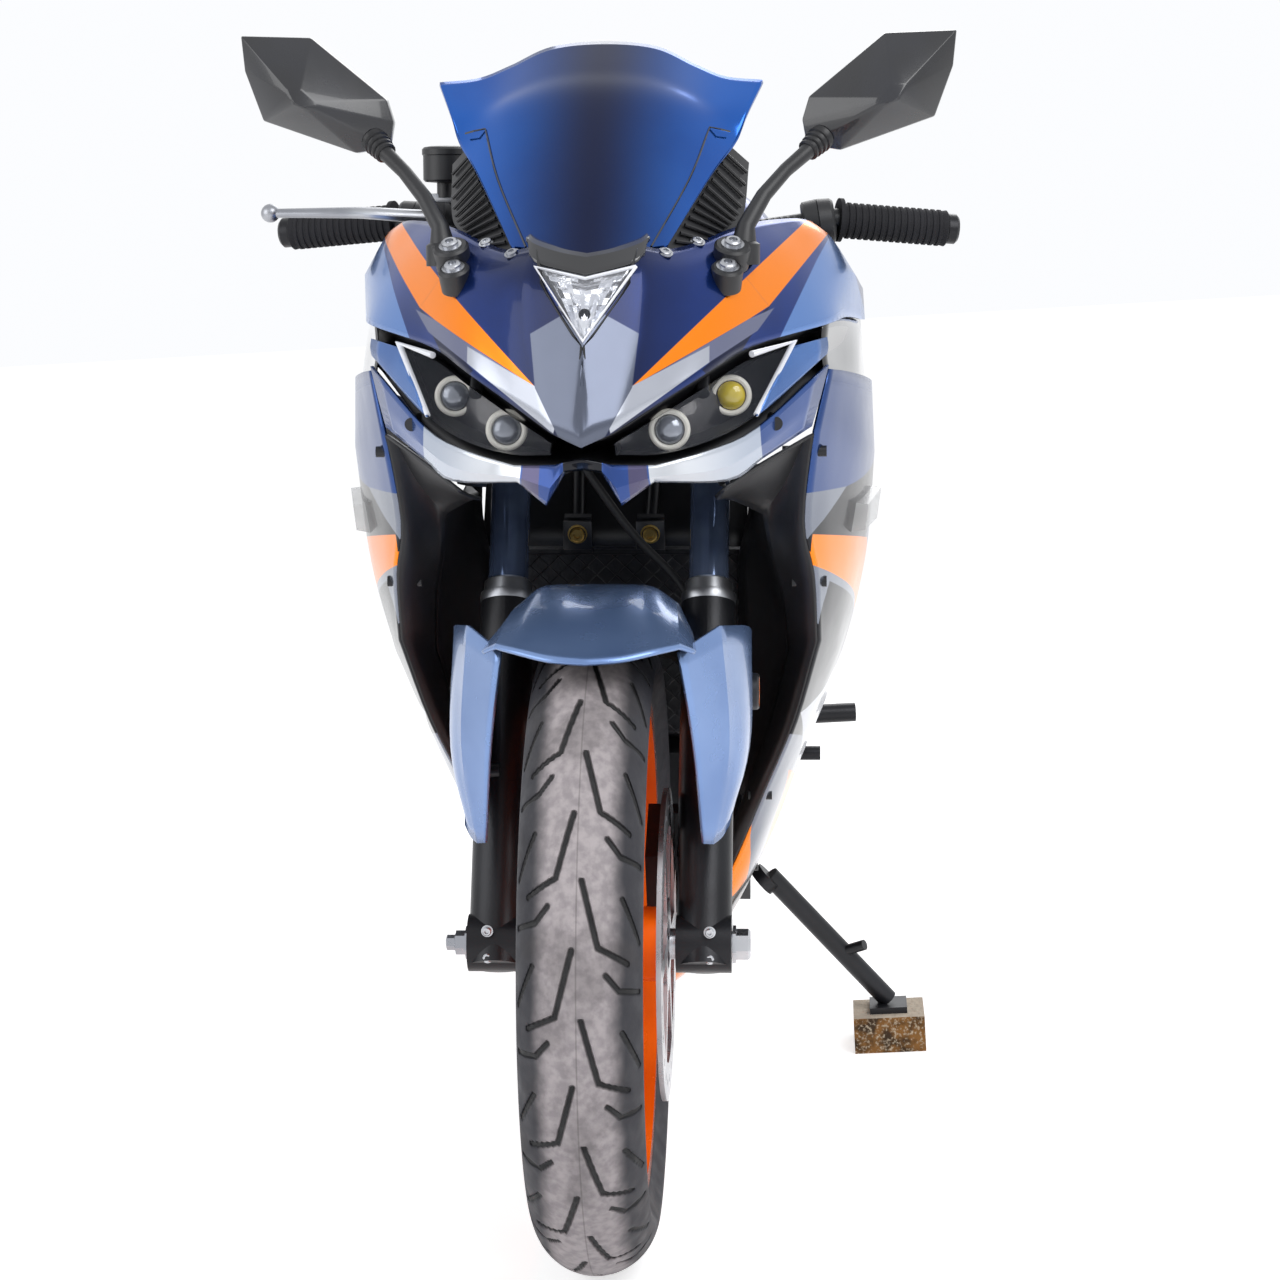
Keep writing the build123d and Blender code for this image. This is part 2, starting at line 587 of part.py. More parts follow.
def chain_loop(offset):
    """The outline of the chain's run, moved out by an offset."""
    big = ROLL_R + offset
    small = DRIVE_R + offset
    span = Vector(DRIVE_X - REAR_AXLE_X, DRIVE_Z - REAR_TYRE_R)
    tilt = span.get_angle(Vector(1, 0))
    spread = Vector(span.length, 0).get_angle(Vector(sqrt(span.length**2 - (ROLL_R - DRIVE_R) ** 2), ROLL_R - DRIVE_R))
    high = radians(90 + tilt - spread)
    low = radians(-90 + tilt + spread)
    points = []
    for x, z, radius, angle in (
        (REAR_AXLE_X, REAR_TYRE_R, big, high), (DRIVE_X, DRIVE_Z, small, high),
        (DRIVE_X, DRIVE_Z, small, low), (REAR_AXLE_X, REAR_TYRE_R, big, low),
    ):
        points.append((x + radius * cos(angle), z + radius * sin(angle)))
    lead = (DRIVE_X + small * cos(radians(tilt)), DRIVE_Z + small * sin(radians(tilt)))
    tail = (REAR_AXLE_X - big * cos(radians(tilt)), REAR_TYRE_R - big * sin(radians(tilt)))
    return points, lead, tail


def chain_sketch(offset, plane, mode=Mode.ADD):
    """The closed face inside a chain outline."""
    points, lead, tail = chain_loop(offset)
    with BuildSketch(plane) as face:
        with BuildLine():
            Line(points[0], points[1])
            ThreePointArc(points[1], lead, points[2])
            Line(points[2], points[3])
            ThreePointArc(points[3], tail, points[0])
        make_face()
    return face.sketch


chain_plane = Plane.XZ.offset(-CHAIN_Y)

with BuildPart() as chain:
    extrude(chain_sketch(CHAIN_PLATE / 2, chain_plane), amount=CHAIN_WIDTH / 2, both=True)
    extrude(chain_sketch(-CHAIN_PLATE / 2, chain_plane), amount=CHAIN_WIDTH / 2, both=True, mode=Mode.SUBTRACT)
    extrude(chain_sketch(-ROLLER_R, chain_plane), amount=CHAIN_SLOT / 2, both=True, mode=Mode.SUBTRACT)

with BuildPart() as rear_caliper:
    slab([(-668, 340), (-668, 420), (-600, 420), (-600, 344)], -118, -64)
    low_y = REAR_DISC_Y - DISC_THICK / 2 - WORKING_GAP
    with BuildSketch(wheel_plane(REAR_AXLE_X, REAR_TYRE_R, low_y)) as slot:
        Circle(REAR_DISC_R + WORKING_GAP)
    extrude(slot.sketch, amount=-(DISC_THICK + 2 * WORKING_GAP), mode=Mode.SUBTRACT)
    add(swingarm.part, mode=Mode.SUBTRACT)

with BuildPart() as rear_shock:
    rod((-206, 0, 380), (-124, 0, 508), 16)
    rod((-192, 0, 402), (-138, 0, 486), 30)
    add(swingarm.part, mode=Mode.SUBTRACT)
    add(main_frame.part, mode=Mode.SUBTRACT)

# Footrests and pedals
with BuildPart() as footrests:
    for out in (1, -1):
        slab([(-140, 480), (-90, 450), (-210, 352), (-262, 360), (-230, 420)], *sorted((out * FRAME_OUT, out * (FRAME_OUT + 8))))
        rod((-236, out * (FRAME_OUT + 7), 370), (-246, out * 236, 374), 11)
        slab([(-120, 520), (-132, 480), (-420, 470), (-468, 500), (-430, 520), (-180, 500)], *sorted((out * FRAME_OUT, out * (FRAME_OUT + 8))))
        rod((-440, out * (FRAME_OUT + 8), 496), (-446, out * 216, 500), 10)
    for out, toe in ((1, (-74, 352)), (-1, (-66, 342))):
        beam((-212, out * 143, 362), (toe[0], out * 152, toe[1]), 8, 14)
        rod((toe[0], out * 148, toe[1]), (toe[0], out * 196, toe[1]), 8)
        rod((-212, out * (FRAME_OUT + 8), 362), (-212, out * 148, 362), 8)
    add(rear_axle.part, mode=Mode.SUBTRACT)


# Tank, filler lid and seats
CAP_X = 172
CAP_Z = 1001
TANK = [
    (296, [(0, 942), (42, 930), (70, 888), (62, 858), (0, 858)]),
    (232, [(0, 985), (78, 966), (130, 902), (118, 838), (0, 838)]),
    (150, [(0, 1000), (98, 984), (162, 912), (148, 806), (0, 806)]),
    (50, [(0, 976), (94, 960), (154, 892), (130, 782), (0, 782)]),
    (-40, [(0, 902), (70, 890), (110, 842), (96, 764), (0, 764)]),
    (-88, [(0, 842), (52, 836), (78, 808), (72, 758), (0, 758)]),
]

with BuildPart() as fuel_tank:
    ruled([(x, both(half)) for x, half in TANK])
    for out in (1, -1):
        rod((262, out * 88, 815), (262, out * 88, 850), 10)
        rod((-70, out * 60, 690), (-70, out * 60, 765), 9)
    rod((CAP_X, 0, 980), (CAP_X, 0, CAP_Z + 4), 42)
    add(main_frame.part, mode=Mode.SUBTRACT)
    add(seat_rails.part, mode=Mode.SUBTRACT)

with BuildPart() as fuel_cap:
    rod((CAP_X, 0, CAP_Z + 4.3), (CAP_X, 0, CAP_Z + 12), 36)

RIDER_SEAT = [
    (-90, [(0, 800), (62, 796), (84, 772), (80, 748), (0, 748)]),
    (-180, [(0, 782), (90, 778), (128, 752), (120, 732), (0, 732)]),
    (-320, [(0, 780), (100, 778), (138, 754), (128, 736), (0, 736)]),
    (-410, [(0, 806), (86, 802), (112, 780), (104, 746), (0, 746)]),
]
PILLION_SEAT = [
    (-414, [(0, 872), (80, 868), (104, 846), (100, 830), (0, 830)]),
    (-560, [(0, 894), (84, 888), (104, 868), (100, 856), (0, 856)]),
    (-700, [(0, 908), (52, 902), (68, 888), (64, 880), (0, 880)]),
]

with BuildPart() as rider_seat:
    ruled([(x, both(half)) for x, half in RIDER_SEAT])
    add(fuel_tank.part, mode=Mode.SUBTRACT)

TAIL = [
    (-150, [(0, 731), (118, 731), (134, 748), (140, 744), (128, 690), (118, 660)]),
    (-320, [(0, 735), (126, 735), (142, 752), (152, 748), (140, 716), (120, 690)]),
    (-413, [(0, 829), (98, 829), (116, 842), (150, 790), (140, 744), (112, 724)]),
    (-560, [(0, 855), (98, 855), (112, 866), (132, 822), (118, 780), (92, 760)]),
    (-700, [(0, 879), (62, 879), (78, 886), (104, 848), (92, 816), (70, 800)]),
    (-880, [(0, 900), (14, 900), (26, 898), (58, 872), (56, 850), (46, 838)]),
]


TAIL_ROWS = [[(x, *outline[row]) for x, outline in TAIL] for row in range(len(TAIL[0][1]))]

with BuildPart() as tail_fairing:
    add(skin([TAIL_ROWS, flipped(TAIL_ROWS)], PANEL))
    add(seat_rails.part, mode=Mode.SUBTRACT)
    add(rider_seat.part, mode=Mode.SUBTRACT)

with BuildPart() as passenger_seat:
    ruled([(x, both(half)) for x, half in PILLION_SEAT])
    add(tail_fairing.part, mode=Mode.SUBTRACT)

with BuildPart() as tail_light:
    ruled([
        (-880, both([(0, 900), (14, 900), (26, 898), (58, 872), (56, 850), (46, 838), (0, 838)])),
        (-908, both([(0, 888), (10, 888), (18, 886), (40, 868), (38, 856), (30, 850), (0, 850)])),
    ])
    add(tail_fairing.part, mode=Mode.SUBTRACT)

HANGER = [
    (-722, 801), (-800, 812), (-884, 803), (-961, 694), (-1046, 562),
    (-1038, 557), (-953, 686), (-878, 790), (-800, 804), (-722, 793),
]

with BuildPart() as rear_fender:
    slab(HANGER, -34, 34)
    slab([(-972, 673), (-1057, 541), (-1061, 544), (-976, 676)], -80, 80)
    rod((-930, -92, 733), (-930, 92, 733), 5)
    add(seat_rails.part, mode=Mode.SUBTRACT)

# Side fairings and the brackets that carry them
FASTENERS = ((640, 164, 204, 738), (572, 172, 204, 613), (440, 128, 151, 391))

with BuildPart() as fairing_stay:
    beam((424, 0, 850), (640, 0, 858), 30, 22)
    for out in (1, -1):
        pipe([(560, 0, 855), (600, out * 60, 858), (700, out * 96, 862), (724, out * 112, 900), (738, out * 124, 924)], 22, 7)
        pipe([(585, out * 30, 856), (640, out * 130, 800), (690, out * 150, 775), (735, out * 160, 768)], 25, 6)
        pipe([(600, 0, 856), (640, out * 40, 930), (666, out * 84, 985)], 20, 6)
        rod((700, out * 96, 862), (812, out * 60, 850), 5)
        rod((200, out * 104, 690), (200, out * 222, 690), 6)
        rod((20, out * 110, 560), (20, out * 208, 470), 6)
        rod((120, out * 80, 260), (120, out * 130, 262), 7)
        rod((350, out * 40, 770), (446, out * 35, 652), 6)
        rod((700, out * 96, 862), (783, out * 98, 797), 6)
        for x, low, high, z in FASTENERS:
            rod((x, out * low, z), (x, out * high, z), 5)
    beam((600, 0, 858), (612, 0, 955), 60, 8)
    rod((640, 0, 858), (829, 0, 866), 5)
    add(main_frame.part, mode=Mode.SUBTRACT)
    add(engine.part, mode=Mode.SUBTRACT)

SIDE = [
    [(649, 207, 812), (600, 222, 808), (520, 239, 800), (420, 247, 790), (310, 238, 778), (200, 210, 752)],
    [(663, 194, 757), (610, 214, 750), (520, 240, 738), (400, 250, 722), (280, 242, 704), (150, 214, 672)],
    [(628, 185, 674), (580, 207, 665), (500, 232, 652), (400, 244, 640), (260, 239, 618), (110, 214, 580)],
    [(595, 194, 622), (550, 210, 610), (480, 226, 596), (390, 233, 582), (240, 229, 545), (60, 207, 500)],
    [(549, 197, 556), (500, 207, 545), (440, 214, 530), (360, 214, 512), (200, 207, 462), (10, 192, 420)],
    [(504, 175, 473), (460, 181, 460), (400, 185, 446), (320, 183, 428), (160, 176, 382), (-20, 166, 345)],
    [(459, 146, 399), (420, 152, 382), (370, 154, 365), (290, 152, 345), (130, 149, 305), (-30, 146, 285)],
    [(396, 117, 323), (370, 123, 302), (335, 124, 285), (255, 122, 265), (110, 121, 245), (-30, 126, 240)],
    [(371, 87, 257), (350, 89, 236), (315, 88, 216), (230, 87, 201), (90, 90, 196), (-30, 96, 201)],
]
INNER = [
    [(764, 112, 712), (720, 106, 704), (655, 106, 698)],
    [(728, 138, 728), (690, 131, 710), (640, 118, 697)],
    [(656, 182, 750), (636, 166, 712), (606, 146, 680)],
    [(620, 176, 668), (598, 164, 655), (568, 154, 640)],
    [(586, 185, 617), (566, 174, 608), (538, 164, 598)],
    [(541, 188, 553), (521, 178, 546), (498, 170, 540)],
    [(496, 166, 470), (478, 158, 464), (455, 150, 458)],
    [(451, 137, 396), (436, 130, 390), (416, 125, 384)],
    [(388, 108, 320), (376, 102, 316), (360, 97, 311)],
    [(364, 78, 254), (354, 74, 251), (342, 71, 249)],
]

with BuildPart() as indicators:
    for out in (1, -1):
        ruled([
            (440, [(out * 218, 650), (out * 252, 660), (out * 256, 690), (out * 222, 694)]),
            (520, [(out * 208, 650), (out * 240, 656), (out * 243, 680), (out * 214, 684)]),
        ])
        ruled([
            (-960, [(out * 92, 723), (out * 140, 727), (out * 140, 741), (out * 92, 745)]),
            (-914, [(out * 92, 719), (out * 150, 723), (out * 150, 743), (out * 92, 747)]),
        ])

for label, panel in (("side_fairing_left", SIDE), ("side_fairing_right", flipped(SIDE))):
    with BuildPart() as side_fairing:
        add(skin([panel], PANEL))
        add(fairing_stay.part, mode=Mode.SUBTRACT)
        add(indicators.part, mode=Mode.SUBTRACT)
    park(side_fairing, label)

for label, panel in (("inner_cowl_left", INNER), ("inner_cowl_right", flipped(INNER))):
    with BuildPart() as inner_cowl:
        add(skin([panel], PANEL))
        add(fairing_stay.part, mode=Mode.SUBTRACT)
    park(inner_cowl, label)

BELLY = [
    [(345, 0, 192), (345, 40, 200), (362, 78, 240)],
    [(300, 0, 168), (308, 42, 172), (312, 80, 205)],
    [(200, 0, 156), (210, 44, 160), (228, 80, 192)],
    [(60, 0, 152), (70, 46, 156), (90, 82, 188)],
    [(-30, 0, 158), (-30, 50, 162), (-30, 88, 193)],
]

with BuildPart() as belly_pan:
    add(skin([BELLY, flipped(BELLY)], PANEL))
    add(exhaust_pipe.part, mode=Mode.SUBTRACT)

with BuildPart() as radiator:
    with BuildSketch(Plane(origin=(412, 0, 536), x_dir=(0, 1, 0), z_dir=(0.96, 0, -0.28))) as core:
        Rectangle(250, 196)
    extrude(core.sketch, amount=-32)
    for y in (-35, 35):
        beam((438, y, 628), (452, y, 664), 26, 8)
        rod((448, y, 650), (462, y, 646), 8)
    add(fairing_stay.part, mode=Mode.SUBTRACT)

# Nose cowl: the upper panel round the lamps, with its beak
UPPER = [
    [(790, 44, 924), (768, 67, 920), (735, 92, 926), (690, 122, 938), (630, 155, 945), (560, 190, 943), (445, 208, 915)],
    [(812, 48, 895), (784, 82, 895), (745, 115, 903), (700, 145, 910), (635, 176, 922), (558, 203, 932), (440, 222, 905)],
    [(832, 45, 845), (803, 82, 845), (765, 118, 860), (715, 152, 870), (640, 193, 888), (545, 224, 898), (432, 238, 880)],
    [(868, 26, 768), (830, 66, 793), (795, 104, 816), (742, 140, 836), (650, 204, 852), (560, 222, 856), (430, 240, 850)],
]
BEAK = [
    [(817, 37, 894), (812, 48, 895)],
    [(851, 3, 843), (832, 45, 845)],
]
NOSE = [
    [(852, 0, 838), (851, 3, 843), (832, 45, 845)],
    [(881, 0, 757), (876, 12, 762), (868, 26, 768)],
]
CHIN = [
    [(869, 0, 745), (866, 17, 743), (858, 24, 741), (835, 60, 739), (808, 104, 749), (757, 146, 766), (656, 206, 816)],
    [(846, 0, 723), (846, 15, 722), (850, 32, 711), (830, 62, 723), (772, 120, 721), (735, 149, 738), (669, 191, 762)],
]

with BuildPart() as nose_cowl:
    left_half = [UPPER, BEAK, NOSE]
    add(skin(left_half + [flipped(grid) for grid in left_half], PANEL))
    add(fairing_stay.part, mode=Mode.SUBTRACT)

with BuildPart() as chin_cowl:
    add(skin([CHIN, flipped(CHIN)], PANEL))
    add(fairing_stay.part, mode=Mode.SUBTRACT)

LAMP = [
    [(860, 27, 759), (824, 68, 783), (789, 106, 806), (736, 142, 826), (657, 203, 841)],
    [(859, 28, 754), (828, 68, 766), (798, 108, 784), (744, 146, 802), (657, 204, 833)],
    [(856, 28, 749), (828, 64, 748), (803, 106, 758), (752, 144, 777), (657, 203, 826)],
]
for label, panel in (("headlamp_left", LAMP), ("headlamp_right", flipped(LAMP))):
    with BuildPart() as headlamp:
        add(skin([panel], 22))
        add(fairing_stay.part, mode=Mode.SUBTRACT)
    park(headlamp, label)

CENTRE = [
    [(810, 0, 896), (806, 41, 907)],
    [(828, 0, 878), (819, 22, 880)],
    [(846, 0, 846), (845, 3, 847)],
]
with BuildPart() as centre_lamp:
    add(skin([CENTRE, flipped(CENTRE)], 6))
    add(fairing_stay.part, mode=Mode.SUBTRACT)

BROW = [
    [(786, 0, 912), (784, 40, 927)],
    [(806, 0, 904), (800, 48, 915)],
]
with BuildPart() as lamp_brow:
    add(skin([BROW, flipped(BROW)], 6))
    add(nose_cowl.part, mode=Mode.SUBTRACT)

SCREEN = [
    [(560, 0, 1106), (574, 78, 1098), (604, 141, 1068)],
    [(650, 0, 1052), (652, 66, 1046), (650, 118, 1014)],
    [(725, 0, 985), (722, 52, 980), (690, 98, 986)],
    [(792, 0, 916), (782, 34, 924), (766, 62, 924)],
]
with BuildPart() as windscreen:
    add(skin([SCREEN, flipped(SCREEN)], 4))
    add(fairing_stay.part, mode=Mode.SUBTRACT)
    add(lamp_brow.part, mode=Mode.SUBTRACT)

VENT = [
    [(640, 122, 1008), (690, 101, 978), (725, 86, 950), (762, 70, 918)],
    [(622, 134, 992), (664, 128, 945), (700, 112, 932), (742, 86, 920)],
]
with BuildPart() as vent_panels:
    vent = [list(reversed(row)) for row in VENT]
    add(skin([vent], PANEL))
    add(skin([flipped(vent)], PANEL))
    add(nose_cowl.part, mode=Mode.SUBTRACT)
    add(windscreen.part, mode=Mode.SUBTRACT)
    add(fairing_stay.part, mode=Mode.SUBTRACT)

with BuildPart() as dashboard:
    ruled([
        (616, both([(0, 985), (62, 980), (66, 930), (0, 925)])),
        (590, both([(0, 992), (70, 986), (74, 928), (0, 922)])),
    ])
    add(fairing_stay.part, mode=Mode.SUBTRACT)

# Mirrors
HEAD = [(318, 1110), (255, 1108), (188, 1053), (182, 1033), (186, 1011), (216, 1006), (299, 1035), (315, 1079)]
CREASE = (262, 1050)


def shrunk(outline, centre, share):
    """An outline drawn in towards a point."""
    return [(centre[0] + (y - centre[0]) * share, centre[1] + (z - centre[1]) * share) for y, z in outline]


for label, out in (("mirror_left", 1), ("mirror_right", -1)):
    head = [(out * y, z) for y, z in HEAD]
    crease = (out * CREASE[0], CREASE[1])
    with BuildPart() as mirror_part:
        ruled([(640, shrunk(head, crease, 0.97)), (654, head), (686, shrunk(head, crease, 0.12))])
        pipe([(738, out * 124, 926), (736, out * 126, 946), (690, out * 168, 988), (655, out * 200, 1018)], 14, 7)
        rod((738, out * 124, 906), (741, out * 124, 936), 16)
        rod((752, out * 120, 890), (757, out * 120, 908), 13)
        with BuildSketch(Plane(origin=(639, 0, 0), x_dir=(0, 1, 0), z_dir=(1, 0, 0))) as recess:
            Polygon(*shrunk(head, crease, 0.9), align=None)
        extrude(recess.sketch, amount=2, mode=Mode.SUBTRACT)
        add(nose_cowl.part, mode=Mode.SUBTRACT)
        add(fairing_stay.part, mode=Mode.SUBTRACT)
    park(mirror_part.part.solids().sort_by(SortBy.VOLUME)[-1], label)

# Side stand, its bracket and the block under its foot
leg = Vector(*STAND_FOOT) - Vector(*STAND_PIVOT)
fold_axis = Vector(0, -leg.Z, leg.Y).normalized()

pivot = Vector(*STAND_PIVOT)
with BuildPart() as side_stand:
    low = pivot - fold_axis * 13
    rod((low.X, low.Y, low.Z), (pivot.X, pivot.Y, pivot.Z), 17)
    rod(STAND_PIVOT, STAND_FOOT, STAND_R)
    with BuildSketch(GROUND.offset(BLOCK_HIGH)) as foot:
        with Locations((STAND_FOOT[0], STAND_FOOT[1] * cos(radians(LEAN)) + STAND_FOOT[2] * sin(radians(LEAN)))):
            Rectangle(58, 42)
    extrude(foot.sketch, amount=7)
    rod((-84, 217, 122), (-70, 246, 134), 6)

with BuildPart() as stand_block:
    with BuildSketch(Plane.XY) as patch:
        with Locations((STAND_FOOT[0], STAND_FOOT[1] * cos(radians(LEAN)) + STAND_FOOT[2] * sin(radians(LEAN)))):
            Rectangle(BLOCK_LONG, BLOCK_WIDE)
    extrude(patch.sketch, amount=BLOCK_HIGH)

STEERING = PARKED * STEERED
for piece, label in (
    (front_tyre, "front_tyre"), (front_rim, "front_rim"), (front_disc, "front_disc"), (yokes, "yokes"),
    (fork_tubes, "fork_tubes"), (fork_legs, "fork_legs"),
    (front_axle, "front_axle"), (front_fender, "front_fender"), (front_caliper, "front_caliper"),
    (handlebars, "handlebars"), (hand_controls, "hand_controls"),
    (brake_lever, "brake_lever"), (brake_hose, "brake_hose"),
):
    park(piece, label, STEERING)
for piece, label in (
    (rear_tyre, "rear_tyre"), (rear_rim, "rear_rim"), (rear_disc, "rear_disc"), (rear_sprocket, "rear_sprocket"),
    (main_frame, "main_frame"), (seat_rails, "seat_rails"),
    (engine, "engine"), (exhaust_pipe, "exhaust_pipe"), (muffler, "muffler"), (swingarm, "swingarm"),
    (rear_axle, "rear_axle"), (chain, "chain"),
    (rear_caliper, "rear_caliper"), (rear_shock, "rear_shock"), (footrests, "footrests"),
    (fuel_tank, "fuel_tank"), (fuel_cap, "fuel_cap"), (rider_seat, "rider_seat"),
    (passenger_seat, "passenger_seat"), (tail_fairing, "tail_fairing"), (tail_light, "tail_light"),
    (rear_fender, "rear_fender"), (fairing_stay, "fairing_stay"),
    (belly_pan, "belly_pan"), (radiator, "radiator"), (nose_cowl, "nose_cowl"), (chin_cowl, "chin_cowl"),
    (centre_lamp, "centre_lamp"), (lamp_brow, "lamp_brow"), (windscreen, "windscreen"),
    (vent_panels, "vent_panels"), (dashboard, "dashboard"),
    (indicators, "indicators"), (side_stand, "side_stand"),
):
    park(piece, label)
park(stand_block, "stand_block", Location())

# The origin lies on the ground under the middle of the whole
boxes = [piece.bounding_box() for piece in finished]
middle_x = (min(box.min.X for box in boxes) + max(box.max.X for box in boxes)) / 2
middle_y = (min(box.min.Y for box in boxes) + max(box.max.Y for box in boxes)) / 2
origin = Location((-middle_x, -middle_y, -min(box.min.Z for box in boxes)))
print("origin", *origin.position)
for piece in finished:
    placed = origin * piece
    placed.label = piece.label
    export_step(placed, f"parts/{piece.label}.step")
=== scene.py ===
"""A small sport motorcycle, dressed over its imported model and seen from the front."""

import json
import logging
from dataclasses import dataclass, field
from enum import Enum
from math import asin, atan2, cos, exp, floor, pi, radians, sin, tan

import bmesh
import bpy
from mathutils import Matrix, Quaternion, Vector


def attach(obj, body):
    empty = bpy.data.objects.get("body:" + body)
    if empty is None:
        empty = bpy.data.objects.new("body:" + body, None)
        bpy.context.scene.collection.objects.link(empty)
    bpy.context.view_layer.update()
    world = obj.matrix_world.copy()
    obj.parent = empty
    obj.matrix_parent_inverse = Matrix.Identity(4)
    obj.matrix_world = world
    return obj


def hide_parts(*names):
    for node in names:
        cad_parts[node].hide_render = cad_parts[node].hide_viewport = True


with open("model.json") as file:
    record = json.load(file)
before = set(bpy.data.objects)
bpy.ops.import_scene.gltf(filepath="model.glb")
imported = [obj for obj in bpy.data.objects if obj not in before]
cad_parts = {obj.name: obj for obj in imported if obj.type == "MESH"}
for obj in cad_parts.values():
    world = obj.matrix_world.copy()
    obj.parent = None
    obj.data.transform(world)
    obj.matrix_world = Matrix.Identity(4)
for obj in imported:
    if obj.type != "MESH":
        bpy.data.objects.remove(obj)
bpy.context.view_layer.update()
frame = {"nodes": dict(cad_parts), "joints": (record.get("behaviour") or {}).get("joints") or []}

log = logging.getLogger("motorcycle")

Point = tuple[float, float, float]
Grid = list[list[Point]]

MM = 0.001


class View(Enum):
    """The side from which a painted zone's outline is drawn."""

    FRONT = "front"
    SIDE = "side"


class Half(Enum):
    """One side of the machine, as the sign of its Y."""

    LEFT = 1
    RIGHT = -1


@dataclass(frozen=True)
class Stance:
    """How the machine stands: its lean, where its rear hub is and where that hub is placed."""

    lean: float = 3.0
    rear_hub: Point = (-690.0, 0.0, 314.0)
    hub_place: Point = (0.0, 0.0, 0.0)

    def parked(self) -> Matrix:
        """The matrix from upright millimetres to the parked machine.

        Returns:
            A matrix that leans, scales and moves the upright machine.
        """
        turn = Matrix.Rotation(radians(-self.lean), 4, "X") @ Matrix.Scale(MM, 4)
        return Matrix.Translation(Vector(self.hub_place) - turn @ Vector(self.rear_hub)) @ turn


class Graph:
    """A material's nodes, with short calls to add and join them."""

    def __init__(self, name: str) -> None:
        """Start a material with its main shader.

        Args:
            name: The material's name.
        """
        self.material = bpy.data.materials.new(name)
        self.material.use_nodes = True
        self.nodes = self.material.node_tree.nodes
        self.links = self.material.node_tree.links
        self.shader = self.nodes["Principled BSDF"]
        self._place = None

    def add(self, kind: str, **values: object) -> bpy.types.Node:
        """Add a node.

        Args:
            kind: The node's type name.
            values: Properties, or inputs by name with spaces as underscores.

        Returns:
            The new node.
        """
        node = self.nodes.new(kind)
        for key, value in values.items():
            if hasattr(node, key):
                setattr(node, key, value)
            else:
                self.put(node.inputs[key.replace("_", " ")], value)
        return node

    def put(self, socket: bpy.types.NodeSocket, value: object) -> None:
        """Set a socket to a value, or join another socket to it.

        Args:
            socket: The socket that takes the value.
            value: A number, a colour or an output socket.
        """
        if isinstance(value, bpy.types.NodeSocket):
            self.links.new(value, socket)
        else:
            socket.default_value = value

    def math(self, operation: str, first: object, second: object = 0.0) -> bpy.types.NodeSocket:
        """A sum of two numbers or sockets.

        Args:
            operation: The math node's operation.
            first: The first term.
            second: The second term.

        Returns:
            The result's socket.
        """
        node = self.nodes.new("ShaderNodeMath")
        node.operation = operation
        self.put(node.inputs[0], first)
        self.put(node.inputs[1], second)
        return node.outputs[0]

    def mix(self, share: object, first: object, second: object) -> bpy.types.NodeSocket:
        """A blend of two colours.

        Args:
            share: How much of the second colour shows.
            first: The first colour.
            second: The second colour.

        Returns:
            The blended colour's socket.
        """
        node = self.nodes.new("ShaderNodeMix")
        node.data_type = "RGBA"
        self.put(node.inputs[0], share)
        for socket, value in ((node.inputs[6], first), (node.inputs[7], second)):
            self.put(socket, (*value, 1.0) if isinstance(value, tuple) else value)
        return node.outputs[2]

    def ramp(self, value: object, low: float, high: float) -> bpy.types.NodeSocket:
        """A value spread from 0 to 1 between two limits.

        Args:
            value: The value's socket.
            low: Where the result is 0.
            high: Where the result is 1.

        Returns:
            The result's socket.
        """
        node = self.nodes.new("ShaderNodeMapRange")
        node.interpolation_type = "SMOOTHSTEP"
        node.clamp = True
        for at, number in ((0, value), (1, low), (2, high)):
            self.put(node.inputs[at], number)
        return node.outputs[0]

    def noise(self, scale: float, detail: float = 3.0, source: object = None) -> bpy.types.NodeSocket:
        """A noise over the surface.

        Args:
            scale: The noise's scale, per metre.
            detail: The noise's detail.
            source: The coordinates, or None for the object's own.

        Returns:
            The noise's value socket.
        """
        coords = source or self.add("ShaderNodeTexCoord").outputs["Object"]
        return self.add("ShaderNodeTexNoise", Vector=coords, Scale=scale, Detail=detail).outputs[0]

    def upright(self) -> dict[str, bpy.types.NodeSocket]:
        """Where a point lies on the upright machine.

        Returns:
            Sockets for x, y, z and the distance from the middle, in metres.
        """
        if self._place is None:
            shift, turn, _ = STANCE.parked().inverted().decompose()
            coords = self.add("ShaderNodeTexCoord").outputs["Object"]
            mapped = self.add(
                "ShaderNodeMapping", Vector=coords, Rotation=tuple(turn.to_euler()), Location=tuple(shift * MM)
            )
            split = self.add("ShaderNodeSeparateXYZ", Vector=mapped.outputs[0])
            self._place = {key: split.outputs[at] for at, key in enumerate("xyz")}
            self._place["out"] = self.math("ABSOLUTE", split.outputs[1])
        return self._place

    def zone(self, corners: tuple, view: View) -> bpy.types.NodeSocket:
        """A mask inside a convex outline.

        Args:
            corners: The outline's corners in millimetres: distance out and height, or x and height.
            view: The side from which the outline is drawn.

        Returns:
            The mask's socket, 1 inside.
        """
        place = self.upright()
        across = place["out"] if view is View.FRONT else place["x"]
        middle = [sum(c[k] for c in corners) / len(corners) for k in (0, 1)]
        inside = None
        for start, end in zip(corners, corners[1:] + corners[:1]):
            a, b = -(end[1] - start[1]), end[0] - start[0]
            length = (a * a + b * b) ** 0.5
            a, b = a / length, b / length
            reach = a * start[0] + b * start[1]
            if a * middle[0] + b * middle[1] < reach:
                a, b, reach = -a, -b, -reach
            side = self.math("ADD", self.math("MULTIPLY", across, a), self.math("MULTIPLY", place["z"], b))
            side = self.math("SUBTRACT", side, reach * MM)
            inside = side if inside is None else self.math("MINIMUM", inside, side)
        return self.ramp(inside, -0.0004, 0.0004)

